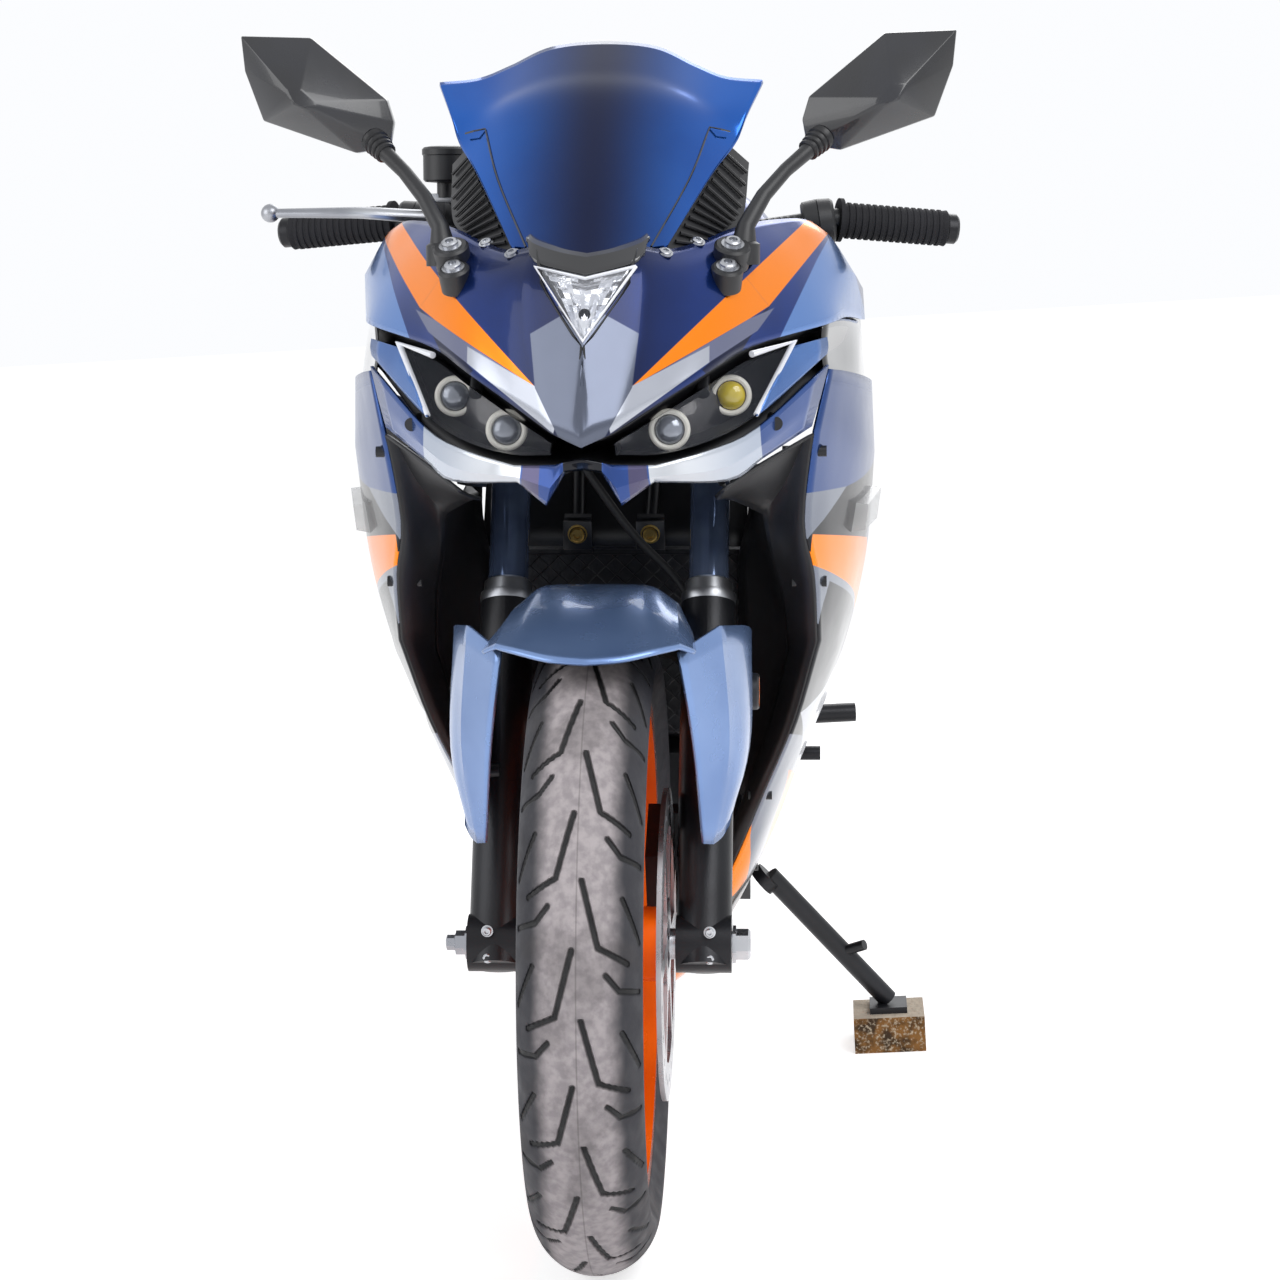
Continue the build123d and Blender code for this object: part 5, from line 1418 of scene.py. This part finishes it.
@dataclass
class Linings(Assembly):
    """The black ducts behind the forks, a dark sheet behind them that stands in for shade, the sheet behind the lamps
    and the gap strips above the flanks.
    """

    duct: tuple = (
        [(655, 106, 698), (560, 128, 704), (440, 128, 700)],
        [(606, 146, 680), (540, 142, 676), (440, 128, 664)],
        [(568, 154, 640), (510, 146, 636), (456, 119, 625)],
        [(538, 164, 598), (490, 150, 594), (446, 119, 590)],
        [(498, 170, 540), (462, 152, 536), (430, 119, 530)],
        [(455, 150, 458), (430, 140, 456), (409, 119, 455)],
        [(416, 125, 384), (404, 122, 384), (392, 115, 384)],
    )
    strip: tuple = (
        [(652, 201, 854), (560, 218, 858), (470, 231, 854), (430, 236, 852)],
        [(652, 200, 830), (580, 214, 826), (500, 232, 822), (430, 238, 818)],
        [(650, 203, 806), (600, 216, 802), (520, 233, 794), (430, 241, 786)],
    )
    backing: tuple = (
        [(868, 0, 760), (852, 25, 766), (814, 65, 791), (778, 103, 815), (724, 138, 835), (634, 200, 851), (560, 217, 854)],
        [(790, 0, 750), (778, 28, 754), (744, 68, 766), (712, 106, 784), (660, 142, 806), (610, 190, 833), (550, 214, 835)],
        [(856, 0, 742), (846, 24, 740), (820, 60, 738), (792, 103, 748), (741, 144, 765), (634, 199, 812), (556, 216, 808)],
    )

    ceiling: tuple = (
        [(846, 0, 740), (834, 36, 728), (822, 60, 730), (790, 92, 728), (766, 117, 720)],
        [(730, 0, 756), (722, 36, 752), (714, 62, 748), (704, 92, 736), (700, 112, 712)],
        [(580, 0, 762), (580, 36, 762), (580, 62, 758), (580, 92, 740), (580, 112, 702)],
    )
    # A dark sheet behind the forks, put where the nose's interior shows only shade: painted shade.
    shade_sheet: tuple = (
        [(396, 0, 722), (396, 70, 722), (402, 126, 722)],
        [(412, 0, 688), (414, 70, 688), (420, 127, 688)],
        [(440, 0, 634), (442, 70, 634), (446, 128, 634)],
    )

    def build(self) -> None:
        """Make the linings."""
        # Painted shade: a dark sheet behind the forks standing in for the shade inside the nose.
        shade_sheet = Shape()
        shade_sheet.surface(list(self.shade_sheet), 3)
        shade_sheet.mirror()
        self.settle(shade_sheet, "dark_shade_sheet", (BLACK_PLASTIC,), "black_plastic", (), 2.0, (200, 0, 690))
        for half in Half:
            side = half.name.lower()
            turn = (lambda grid: list(grid)) if half is Half.LEFT else flipped
            duct = Shape()
            duct.surface(turn(self.duct), 3)
            self.settle(duct, f"duct_{side}", (BLACK_PLASTIC,), "black_plastic", (), 2.0, (700, half.value * 400, 500), sharp=40)
            strip = Shape()
            strip.surface(turn(self.strip), 3)
            self.settle(strip, f"gap_strip_{side}", (GLOSS_BLACK,), "black_plastic", (), 2.0, (500, 0, 820))
        ceiling = Shape()
        ceiling.surface(list(self.ceiling), 3)
        ceiling.mirror()
        self.settle(ceiling, "chin_floor", (BLACK_PLASTIC,), "black_plastic", (), 2.0, (650, 0, 600))
        backing = Shape()
        backing.surface(list(self.backing), 3)
        backing.mirror()
        self.settle(backing, "lamp_backing", (BLACK_PLASTIC,), "black_plastic", (), 2.0, (500, 0, 800))


@dataclass
class Controls(Assembly):
    """The grips, the switch housings, the brake lever and its reservoir."""

    body: str = "steering"
    root: Point = (398.8, 217.5, 944.5)
    tip: Point = (377, 318, 936)
    housing_in: Point = (401.5, 182.3, 940.8)
    housing_out: Point = (400.1, 210.1, 944.7)
    grip_r: float = 16.4
    ribs: int = 15

    def grips(self) -> None:
        """Make the ribbed grips with their end weights."""
        shape = Shape()
        length = (Vector(self.tip) - Vector(self.root)).length
        profile = [(-4, 11), (-4, 21), (0, 21), (1, self.grip_r)]
        pitch = (length - 8) / self.ribs
        for rib in range(self.ribs):
            start = 4 + rib * pitch
            profile += [(start, self.grip_r), (start + 0.8, self.grip_r + 1.1), (start + pitch * 0.55, self.grip_r + 1.1), (start + pitch * 0.55 + 0.8, self.grip_r)]
        profile += [(length - 1, self.grip_r + 1), (length, self.grip_r), (length, 11)]
        for out in (1, -1):
            start = (self.root[0], out * self.root[1], self.root[2])
            way = (self.tip[0] - self.root[0], out * (self.tip[1] - self.root[1]), self.tip[2] - self.root[2])
            shape.turned(profile, start, way, 36)
            end = [(length, 9), (length, 13), (length + 1, 14.5), (length + 9, 14.5), (length + 11.5, 12), (length + 11.5, 5), (length + 9, 4.5), (length + 9, 0)]
            shape.paint(shape.turned(end, start, way, 32), 1)
        self.settle(shape, "grips", (GRIP_RUBBER, ALLOY_BLACK), "grip_rubber", ("hand_controls",))

    def switches(self) -> None:
        """Make the switch housings with their buttons."""
        shape = Shape()
        for out in (1, -1):
            start = Vector((self.housing_in[0], out * self.housing_in[1], self.housing_in[2]))
            way = Vector((self.housing_out[0], out * self.housing_out[1], self.housing_out[2])) - start
            shape.turned([(-2, 12), (-2, 19), (0, 21.5), (13, 22.5), (13.5, 21.8), (14, 22.5), (26, 21.5), (29, 19), (29, 12)], start, way, 28)
            for x, z, wide, high in ((-22, 14, 16, 12), (-23, -4, 12, 9), (-20, -16, 14, 7)):
                y = start.y + way.y * 0.5
                corners = [(start.x + x, y - out * wide / 2, start.z + z - high / 2), (start.x + x, y + out * wide / 2, start.z + z - high / 2), (start.x + x, y + out * wide / 2, start.z + z + high / 2), (start.x + x, y - out * wide / 2, start.z + z + high / 2)]
                shape.block(corners, (10, 0, 0), 1.5)
        for at in range(8):
            shape.turned([(0, 9), (1.5, 12), (4, 12), (5.5, 9)], (414 - at * 1.5, 128 + at * 6, 932 + at * 0.8), (-0.24, 1, 0.13), 20)
        self.settle(shape, "switch_housings", (BLACK_PLASTIC,), "black_plastic")

    def lever(self) -> None:
        """Make the brake lever, its perch and the reservoir on it."""
        shape = Shape()
        blade = shape.swept([(446, -176, 950), (454, -196, 951), (462, -222, 953), (464, -242, 954), (459, -285, 954), (451, -322, 954)], [8, 8, 7.5, 7, 6.2, 5.5], 14, 0.75)
        dome = [(9 * -cos(a), 9 * sin(a)) for a in [pi * k / 10 for k in range(11)]]
        ball = shape.turned(dome, (450, -328, 954), (0, 1, 0), 24)
        perch = shape.block([(412, -146, 938), (412, -180, 938), (444, -184, 942), (446, -160, 942)], (0, 0, 22), 3.0)
        bracket = shape.block([(421, -150, 962), (421, -178, 962), (433, -178, 962), (433, -150, 962)], (0, 0, 10), 1.5)
        pot = shape.turned([(0, 8), (14, 8), (15, 19), (17, 21), (40, 21), (41, 22), (46, 22), (48, 20), (49, 14), (49, 0)], (428, -162, 968), (0, 0, 1), 36)
        shape.paint(blade + ball + bracket, 0)
        shape.paint(perch, 1)
        shape.paint(pot, 1)
        self.settle(shape, "brake_controls", (ALLOY, BLACK_PLASTIC), "alloy", ("brake_lever",))

    def build(self) -> None:
        """Make the controls."""
        self.grips()
        self.switches()
        self.lever()


@dataclass
class ForkTrim(Assembly):
    """Seals, pinch bolts and axle nuts of the fork."""

    body: str = "steering"
    half_width: float = 94.0
    rake: float = 25.0

    def point(self, reach: float, side: float) -> Vector:
        """A point of the fork's line, measured from the axle."""
        return Vector((690 - reach * sin(radians(self.rake)), side, 296 + reach * cos(radians(self.rake))))

    def build(self) -> None:
        """Make the fork's small parts."""
        up = (-sin(radians(self.rake)), 0, cos(radians(self.rake)))
        seals = Shape()
        bolts = Shape()
        for out in (1, -1):
            side = out * self.half_width
            seals.turned([(0, 19), (0, 25), (5, 26), (9, 25.5), (10, 23), (20, 22.5), (22, 20.5), (22, 18.6)], self.point(324, side), up, 40)
            for reach in (508, 538):
                bolts.bolt(self.point(reach, side) + Vector((27, out * 8, 10)), (1, 0, 0.3), 4.5, 5)
            for z in (288, 312):
                bolts.bolt((715, out * 100, z), (1, 0, 0), 4.0, 5)
        bolts.turned([(0, 12), (0, 17), (3, 17), (3, 14), (14, 14), (16, 12), (16, 7), (12, 6.5), (12, 0)], (690, 120, 296), (0, 1, 0), 6)
        bolts.turned([(0, 9), (0, 15), (3, 15), (3, 11), (12, 11), (13, 7), (20, 7), (21, 5), (21, 0)], (690, -119, 296), (0, -1, 0), 6)
        self.settle(seals, "dust_seals", (ALLOY,), "alloy")
        self.settle(bolts, "fork_bolts", (STEEL,), "steel")


@dataclass
class RadiatorGuard(Assembly):
    """The wire guard before the radiator and its two bolted brackets."""

    wide: float = 244.0
    tall: float = 190.0
    cell: float = 13.0
    wire: float = 1.3

    def build(self) -> None:
        """Make the guard and the bolts."""
        shape = Shape()
        cells = int(self.wide * 1.5 / self.cell)
        bmesh.ops.create_grid(shape.bm, x_segments=cells, y_segments=cells, size=cells * self.cell / 2)
        bmesh.ops.rotate(shape.bm, cent=(0, 0, 0), matrix=Matrix.Rotation(pi / 4, 3, "Z"), verts=shape.bm.verts[:])
        for way, reach in (((1, 0, 0), self.tall / 2), ((0, 1, 0), self.wide / 2)):
            for sign in (1, -1):
                normal = Vector(way) * sign
                shape.cut(normal * reach, normal)
        bmesh.ops.wireframe(shape.bm, faces=shape.bm.faces[:], thickness=self.wire, use_replace=True, use_boundary=True, use_even_offset=True)
        face = Vector((0.96, 0, -0.28)).normalized()
        up = Vector((0.28, 0, 0.96)).normalized()
        turn = Matrix((up, Vector((0, 1, 0)), -face)).transposed().to_4x4()
        shape.bm.transform(Matrix.Translation(Vector((412, 0, 536)) + face * 5) @ turn)
        self.settle(shape, "radiator_guard", (BLACK_STEEL,), "radiator_black", sharp=60)
        bolts = Shape()
        for y in (-35, 35):
            bolts.paint(bolts.block([(455, y - 14, 632), (455, y + 14, 632), (460, y + 14, 660), (460, y - 14, 660)], (3, 0, -0.6), 1.0), 1)
            bolts.paint(bolts.bolt((461, y, 647), (0.98, 0, -0.2), 7.0, 5.0), 0)
        self.settle(bolts, "guard_bolts", (BRASS, BLACK_STEEL), "steel")


@dataclass
class TankAndTail(Assembly):
    """The smooth tank with its filler ring and cap bolts, and the tail fairing."""

    tank: tuple = (
        (296, [(0, 942), (42, 930), (70, 888), (62, 858), (0, 858)]),
        (232, [(0, 985), (78, 966), (130, 902), (118, 838), (0, 838)]),
        (150, [(0, 1000), (98, 984), (162, 912), (148, 806), (0, 806)]),
        (50, [(0, 976), (94, 960), (154, 892), (130, 782), (0, 782)]),
        (-40, [(0, 902), (70, 890), (110, 842), (96, 764), (0, 764)]),
        (-88, [(0, 842), (52, 836), (78, 808), (72, 758), (0, 758)]),
    )
    tail: tuple = (
        (-150, [(0, 731), (118, 731), (134, 748), (140, 744), (128, 690), (118, 660)]),
        (-320, [(0, 735), (126, 735), (142, 752), (152, 748), (140, 716), (120, 690)]),
        (-413, [(0, 829), (98, 829), (116, 842), (150, 790), (140, 744), (112, 724)]),
        (-560, [(0, 855), (98, 855), (112, 866), (132, 822), (118, 780), (92, 760)]),
        (-700, [(0, 879), (62, 879), (78, 886), (104, 848), (92, 816), (70, 800)]),
        (-880, [(0, 900), (14, 900), (26, 898), (58, 872), (56, 850), (46, 838)]),
    )

    def build(self) -> None:
        """Make the tank, its filler ring and the tail."""
        body = Shape()
        rows = [[(x, y, z) for y, z in half] for x, half in self.tank]
        body.surface(rows, 6, folds=(3,))
        body.mirror()
        for x in (296, -88):
            rim = [e for e in body.bm.edges if e.is_boundary and abs(e.verts[0].co.x - x) < 0.5 and abs(e.verts[1].co.x - x) < 0.5]
            bmesh.ops.contextual_create(body.bm, geom=rim)
        ring = body.turned([(-14, 46), (0, 46), (3, 43), (3, 37), (0, 36.5)], (172, 0, 1000), (0, 0, 1), 40)
        body.paint(ring, 1)
        self.settle(body, "tank_shell", (TANK_PAINT, ALLOY), "blue_paint", ("fuel_tank",), sharp=30)
        lid = Shape()
        for at in range(6):
            angle = 2 * pi * at / 6
            lid.bolt((172 + 28 * cos(angle), 28 * sin(angle), 1012.6), (0, 0, 1), 2.6, 2.2)
        lid.turned([(0, 9), (2.5, 8), (2.5, 3), (1, 2.6), (1, 0)], (172, 0, 1012.4), (0, 0, 1), 24)
        lid_piece = self.settle(lid, "lid_bolts", (STEEL,), "alloy")
        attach(lid_piece, "fuel_cap")
        tail = Shape()
        columns = [[(x, *half[row]) for x, half in self.tail] for row in range(6)]
        tail.surface(columns, 5, creases=(1, 2, 3), folds=(1, 2))
        tail.mirror()
        self.settle(tail, "tail_shell", (TAIL_PAINT,), "blue_plastic", ("tail_fairing",), 3.0, (-500, 0, 740), sharp=24)


@dataclass
class Seats(Assembly):
    """The rider's and the passenger's seats, upholstered and swollen a little by simulation."""

    rider: tuple = (
        (-92, [(0, 800), (62, 796), (84, 772), (80, 750), (0, 750)]),
        (-180, [(0, 782), (90, 778), (128, 752), (120, 734), (0, 734)]),
        (-320, [(0, 780), (100, 778), (138, 754), (128, 738), (0, 738)]),
        (-408, [(0, 806), (86, 802), (112, 780), (104, 748), (0, 748)]),
    )
    pillion: tuple = (
        (-416, [(0, 872), (80, 868), (104, 846), (100, 832), (0, 832)]),
        (-560, [(0, 894), (84, 888), (104, 868), (100, 858), (0, 858)]),
        (-698, [(0, 908), (52, 902), (68, 888), (64, 882), (0, 882)]),
    )
    voxel: float = 0.006
    pressure: float = 4.0
    cap: float = 0.005
    shrink: float = 0.975

    def cushion(self, sections: tuple) -> Shape:
        """A closed pad through half outlines.

        Args:
            sections: Pairs of x and half an outline.

        Returns:
            The pad.
        """
        shape = Shape()
        shape.surface([[(x, y, z) for y, z in half] for x, half in sections], 6, folds=(3,))
        shape.mirror()
        ends = [sections[0][0], sections[-1][0]]
        for x in ends:
            rim = [e for e in shape.bm.edges if e.is_boundary and all(abs(v.co.x - x) < 0.5 for v in e.verts)]
            bmesh.ops.contextual_create(shape.bm, geom=rim)
        return shape

    def swell(self, piece: bpy.types.Object) -> None:
        """Swell the pad with air pressure, and keep each point near its place.

        Args:
            piece: The pad.
        """
        remesh = piece.modifiers.new("voxels", "REMESH")
        remesh.mode = "VOXEL"
        remesh.voxel_size = self.voxel
        self.apply(piece)
        middle = sum((v.co for v in piece.data.vertices), Vector()) / len(piece.data.vertices)
        for vert in piece.data.vertices:
            vert.co = middle + (vert.co - middle) * self.shrink
        start = [vert.co.copy() for vert in piece.data.vertices]
        cloth = piece.modifiers.new("cloth", "CLOTH")
        cloth.settings.use_pressure = True
        cloth.settings.uniform_pressure_force = self.pressure
        cloth.settings.effector_weights.gravity = 0
        for step in range(1, 21):
            bpy.context.scene.frame_set(step)
        self.apply(piece)
        for vert, home in zip(piece.data.vertices, start):
            move = vert.co - home
            if move.length > self.cap:
                vert.co = home + move.normalized() * self.cap
        bpy.context.scene.frame_set(1)
        subdivide = piece.modifiers.new("fine", "SUBSURF")
        subdivide.levels = subdivide.render_levels = 1

    @staticmethod
    def apply(piece: bpy.types.Object) -> None:
        """Put a piece's modifiers into its mesh."""
        graph = bpy.context.evaluated_depsgraph_get()
        mesh = bpy.data.meshes.new_from_object(piece.evaluated_get(graph))
        piece.modifiers.clear()
        piece.data = mesh

    def piping(self, name: str, sections: tuple) -> None:
        """Sew a raised seam round the pad's upper edge.

        Args:
            name: The seam's name.
            sections: The pad's sections.
        """
        shape = Shape()
        edge = [(x, half[2][0] - 1.5, half[2][1] + 1) for x, half in sections]
        points = [along(edge, at / 5) for at in range(5 * (len(edge) - 1) + 1)]
        for out in (1, -1):
            shape.swept([(p.x, out * p.y, p.z) for p in points], [1.8] * len(points), 8)
        self.settle(shape, name, (SEAT_HIDE,), "seat_foam")

    def build(self) -> None:
        """Make both seats."""
        for name, node, sections in (("rider_pad", "rider_seat", self.rider), ("passenger_pad", "passenger_seat", self.pillion)):
            piece = self.settle(self.cushion(sections), name, (SEAT_HIDE,), "seat_foam", (node,), sharp=50)
            self.swell(piece)
            for face in piece.data.polygons:
                face.use_smooth = True
            self.piping(f"{name}_piping", sections)


@dataclass
class Drive(Assembly):
    """The chain's links, the engine's covers and bolts."""

    pitch: float = 12.7
    rear: Point = (-690, 88, 314)
    front: Point = (-35, 88, 390)
    rear_teeth: int = 48
    front_teeth: int = 14

    def run(self) -> tuple[list[Vector], float]:
        """The chain's closed line as many short steps, and its length."""
        big = self.pitch / (2 * sin(pi / self.rear_teeth))
        small = self.pitch / (2 * sin(pi / self.front_teeth))
        a, b = Vector(self.rear), Vector(self.front)
        span = b - a
        tilt = atan2(span.z, span.x)
        spread = asin((big - small) / span.length)
        points = []
        for centre, radius, start, sweep in (
            (b, small, tilt + pi / 2 - spread, -(pi - 2 * spread)), (a, big, tilt - pi / 2 + spread, -(pi + 2 * spread)),
        ):
            for step in range(61):
                angle = start + sweep * step / 60
                points.append(centre + Vector((radius * cos(angle), 0, radius * sin(angle))))
        points.append(points[0].copy())
        length = sum((q - p).length for p, q in zip(points, points[1:]))
        return points, length

    def links(self) -> None:
        """Make the chain of alternate outer and inner links."""
        points, length = self.run()
        count = int(round(length / self.pitch / 2)) * 2
        step = length / count
        pins, walked, need = [], 0.0, 0.0
        for p, q in zip(points, points[1:]):
            gap = (q - p).length
            while need <= walked + gap + 1e-6 and len(pins) < count:
                pins.append(p + (q - p) * ((need - walked) / gap if gap else 0))
                need += step
            walked += gap
        shape = Shape()
        for at, pin in enumerate(pins):
            other = pins[(at + 1) % len(pins)]
            way = (other - pin).normalized()
            side = Vector((-way.z, 0, way.x))
            reach = 6.6 if at % 2 else 5.4
            for out in (1, -1):
                outline = []
                for k in range(6):
                    angle = pi / 2 + pi * k / 5
                    outline.append(pin + way * 4.6 * cos(angle) + side * 4.6 * sin(angle) + Vector((0, out * reach, 0)))
                for k in range(6):
                    angle = -pi / 2 + pi * k / 5
                    outline.append(other + way * 4.6 * cos(angle) + side * 4.6 * sin(angle) + Vector((0, out * reach, 0)))
                shape.block(outline, (0, out * 1.0, 0))
            shape.turned([(-8, 0), (-8, 2), (-5, 2), (-5, 3.9), (5, 3.9), (5, 2), (8, 2), (8, 0)], pin, (0, 1, 0), 8)
        self.settle(shape, "chain_links", (CHAIN_STEEL,), "steel", ("chain",))

    def covers(self) -> None:
        """Make the engine covers' rims and bolts."""
        shape = Shape()
        for x, y, z, radius, out in ((105, 112, 318, 66, 1), (70, -112, 322, 68, -1)):
            shape.turned([(-6, radius + 5), (0, radius + 5), (2, radius), (3, radius - 10), (1, radius - 14), (4, radius * 0.5), (5, 0)], (x, y, z), (0, out, 0), 48)
            for at in range(8):
                angle = 2 * pi * at / 8 + 0.2
                shape.paint(shape.bolt((x + radius * cos(angle), y + out * 1.5, z + radius * sin(angle)), (0, out, 0), 3.6, 4), 1)
        for level in range(9):
            base = Vector((90, 0, 400)) + Vector((0.5, 0, 0.866)) * (40 + level * 17)
            corners = []
            for y, w in ((-69, -71), (69, -71), (69, 71), (-69, 71)):
                corners.append(base + Vector((0, y, 0)) + Vector((0.866, 0, -0.5)) * w)
            shape.block(corners, Vector((0.5, 0, 0.866)) * 5, 1.2, 1)
        self.settle(shape, "engine_covers", (ENGINE_GREY, STEEL), "engine_grey", sharp=30)

    def build(self) -> None:
        """Make the drive's pieces."""
        self.links()
        self.covers()


@dataclass
class StandTrim(Assembly):
    """The side stand's spring."""

    body: str = "side_stand"
    start: Point = (-74, 160, 190)
    end: Point = (-86, 218, 125)
    turns: int = 14
    coil_r: float = 5.5

    def build(self) -> None:
        """Wind the spring."""
        shape = Shape()
        a, b = Vector(self.start), Vector(self.end)
        run = (b - a).normalized()
        side = run.orthogonal().normalized()
        other = run.cross(side)
        path = [a]
        for at in range(self.turns * 10 + 1):
            angle = 2 * pi * at / 10
            share = 0.08 + 0.84 * at / (self.turns * 10)
            path.append(a + (b - a) * share + (side * cos(angle) + other * sin(angle)) * self.coil_r)
        path.append(b)
        shape.swept(path, [1.4] * len(path), 6)
        self.settle(shape, "stand_spring", (STEEL,), "steel")


@dataclass
class Indicators(Assembly):
    """Reflectors and bulbs inside the clear indicators."""

    def build(self) -> None:
        """Make the inner parts."""
        shape = Shape()
        for out in (1, -1):
            for place, way, size in (((478, out * 228, 672), (1, out * 0.9, 0), 12.0), ((-930, out * 118, 733), (-1, 0, 0), 8.0)):
                shape.paint(shape.turned([(-4, size), (-9, size * 0.6), (-11, 2), (-11, 0)], place, way, 24), 0)
                shape.paint(shape.turned([(-9, 0), (-9, 3.2), (-1, 3.2), (2, 0)], place, way, 16), 1)
        self.settle(shape, "indicator_bulbs", (REFLECTOR, AMBER), "clear_lens")


NODE_FINISHES = {
    "main_frame": FRAME_BLACK, "seat_rails": FRAME_BLACK, "engine": ENGINE_GREY, "exhaust_pipe": EXHAUST_STEEL,
    "muffler": EXHAUST_BLACK, "swingarm": FRAME_BLACK, "rear_axle": STEEL, "chain": CHAIN_STEEL, "rear_caliper": ALLOY_BLACK,
    "rear_shock": STEEL, "footrests": ALLOY_BLACK, "fuel_tank": TANK_PAINT, "rider_seat": SEAT_HIDE,
    "passenger_seat": SEAT_HIDE, "tail_fairing": TAIL_PAINT, "tail_light": RED_LENS, "rear_fender": BLACK_PLASTIC,
    "indicators": SMOKED_LENS, "fairing_stay": BLACK_STEEL, "radiator": RADIATOR_BLACK, "dashboard": BLACK_PLASTIC,
    "stand_block": STONE, "yokes": ALLOY_BLACK, "fork_tubes": CHROME, "fork_legs": ALLOY_BLACK, "front_axle": STEEL,
    "front_caliper": ALLOY_BLACK, "handlebars": BLACK_STEEL, "hand_controls": GRIP_RUBBER, "brake_lever": ALLOY,
    "brake_hose": HOSE_RUBBER, "front_rim": ORANGE_ALLOY, "front_disc": STEEL, "rear_rim": ORANGE_ALLOY,
    "rear_disc": STEEL, "rear_sprocket": STEEL, "side_stand": BLACK_STEEL, "fuel_cap": ALLOY,
}


@dataclass
class Studio:
    """The floor, the lights and the camera."""

    camera_place: Point = (3703.0, 209.3, 939.5)
    yaw: float = 3.262
    pitch: float = 6.934
    roll: float = -0.319
    lens: float = 95.625
    floor: float = 30.0

    def camera(self) -> None:
        """Set the camera at the photograph's angle."""
        yaw, pitch, roll = radians(self.yaw), radians(self.pitch), radians(self.roll)
        ahead = Vector((-cos(pitch) * cos(yaw), -cos(pitch) * sin(yaw), -sin(pitch)))
        right = ahead.cross(Vector((0, 0, 1))).normalized()
        up = right.cross(ahead)
        level = right * cos(roll) + up * sin(roll)
        top = -right * sin(roll) + up * cos(roll)
        turn = Matrix((level, top, -ahead)).transposed()
        parked = STANCE.parked()
        data = bpy.data.cameras.new("camera")
        data.lens = self.lens
        data.sensor_fit = "HORIZONTAL"
        data.sensor_width = 36.0
        data.clip_start = 0.01
        data.clip_end = 200.0
        camera = bpy.data.objects.new("camera", data)
        stand = parked.to_3x3().normalized() @ turn
        camera.matrix_world = Matrix.Translation(parked @ Vector(self.camera_place)) @ stand.to_4x4()
        bpy.context.scene.collection.objects.link(camera)
        bpy.context.scene.camera = camera

    def ground(self) -> None:
        """Lay the pale floor."""
        bm = bmesh.new()
        bmesh.ops.create_grid(bm, x_segments=4, y_segments=4, size=self.floor)
        mesh = bpy.data.meshes.new("floor")
        bm.to_mesh(mesh)
        bm.free()
        graph = Graph("pale_floor")
        pale = graph.mix(graph.noise(1.5), (0.84, 0.84, 0.85), (0.88, 0.88, 0.88))
        graph.put(graph.shader.inputs["Base Color"], pale)
        graph.shader.inputs["Roughness"].default_value = 0.9
        graph.shader.inputs["Specular IOR Level"].default_value = 0.0
        path = graph.add("ShaderNodeLightPath")
        seen = graph.math("MAXIMUM", graph.math("MAXIMUM", path.outputs["Is Camera Ray"], path.outputs["Is Glossy Ray"]), path.outputs["Is Transmission Ray"])
        graph.shader.inputs["Emission Color"].default_value = (1, 1, 1, 1)
        graph.put(graph.shader.inputs["Emission Strength"], graph.math("MULTIPLY", seen, 0.62))
        mesh.materials.append(graph.material)
        floor = bpy.data.objects.new("floor", mesh)
        bpy.context.scene.collection.objects.link(floor)

    def sky(self) -> None:
        """Light the scene evenly, white to the camera."""
        world = bpy.data.worlds.new("studio")
        bpy.context.scene.world = world
        world.use_nodes = True
        nodes, links = world.node_tree.nodes, world.node_tree.links
        ground = nodes["Background"]
        ground.inputs["Color"].default_value = (0.97, 0.98, 1.0, 1)
        path = nodes.new("ShaderNodeLightPath")
        first = nodes.new("ShaderNodeMath")
        first.operation = "MAXIMUM"
        second = nodes.new("ShaderNodeMath")
        second.operation = "MAXIMUM"
        span = nodes.new("ShaderNodeMapRange")
        span.inputs[3].default_value = 0.5
        span.inputs[4].default_value = 1.0
        links.new(path.outputs["Is Camera Ray"], first.inputs[0])
        links.new(path.outputs["Is Glossy Ray"], first.inputs[1])
        links.new(first.outputs[0], second.inputs[0])
        links.new(path.outputs["Is Transmission Ray"], second.inputs[1])
        links.new(second.outputs[0], span.inputs[0])
        links.new(span.outputs[0], ground.inputs["Strength"])

    def lights(self) -> None:
        """Hang the soft lamps."""
        for name, place, size, power in (
            ("key", (2.6, 1.8, 2.8), 2.2, 62.0), ("fill", (2.2, -2.6, 1.8), 2.4, 34.0), ("back", (-2.6, 0.6, 2.8), 2.2, 40.0),
        ):
            data = bpy.data.lights.new(name, "AREA")
            data.size = size
            data.energy = power
            lamp = bpy.data.objects.new(name, data)
            lamp.location = place
            lamp.rotation_euler = (Vector((0.1, 0, 0.5)) - Vector(place)).to_track_quat("-Z", "Y").to_euler()
            bpy.context.scene.collection.objects.link(lamp)

    def build(self) -> None:
        """Set up the studio."""
        scene = bpy.context.scene
        scene.view_settings.view_transform = "Standard"
        self.camera()
        self.ground()
        self.sky()
        self.lights()


def finish_nodes() -> None:
    """Give every carried-over node its finish."""
    for name, node in frame["nodes"].items():
        finish = NODE_FINISHES.get(name, BLACK_PLASTIC)
        node.data.materials.clear()
        node.data.materials.append(finish.build())
        log.info("%s: %s", name, finish.name)


def main() -> None:
    """Build the studio and every sub-assembly, in order."""
    logging.basicConfig(level=logging.INFO, format="%(message)s")
    Studio().build()
    finish_nodes()
    assemblies = (
        Nose(), Windscreen(), Lamps(), Flanks(), FrontFender(), Mirrors(), Linings(), Controls(), ForkTrim(),
        RadiatorGuard(), TankAndTail(), Seats(), Drive(), StandTrim(), Indicators(), Tyre(),
        Tyre(body="rear_wheel", name="rear", hub=(-690, 0, 314), radius=314.0, width=142.0, rim_width=112.0),
    )
    for assembly in assemblies:
        assembly.build()
        log.info("%s built", type(assembly).__name__)


if __name__ == "__main__":
    main()
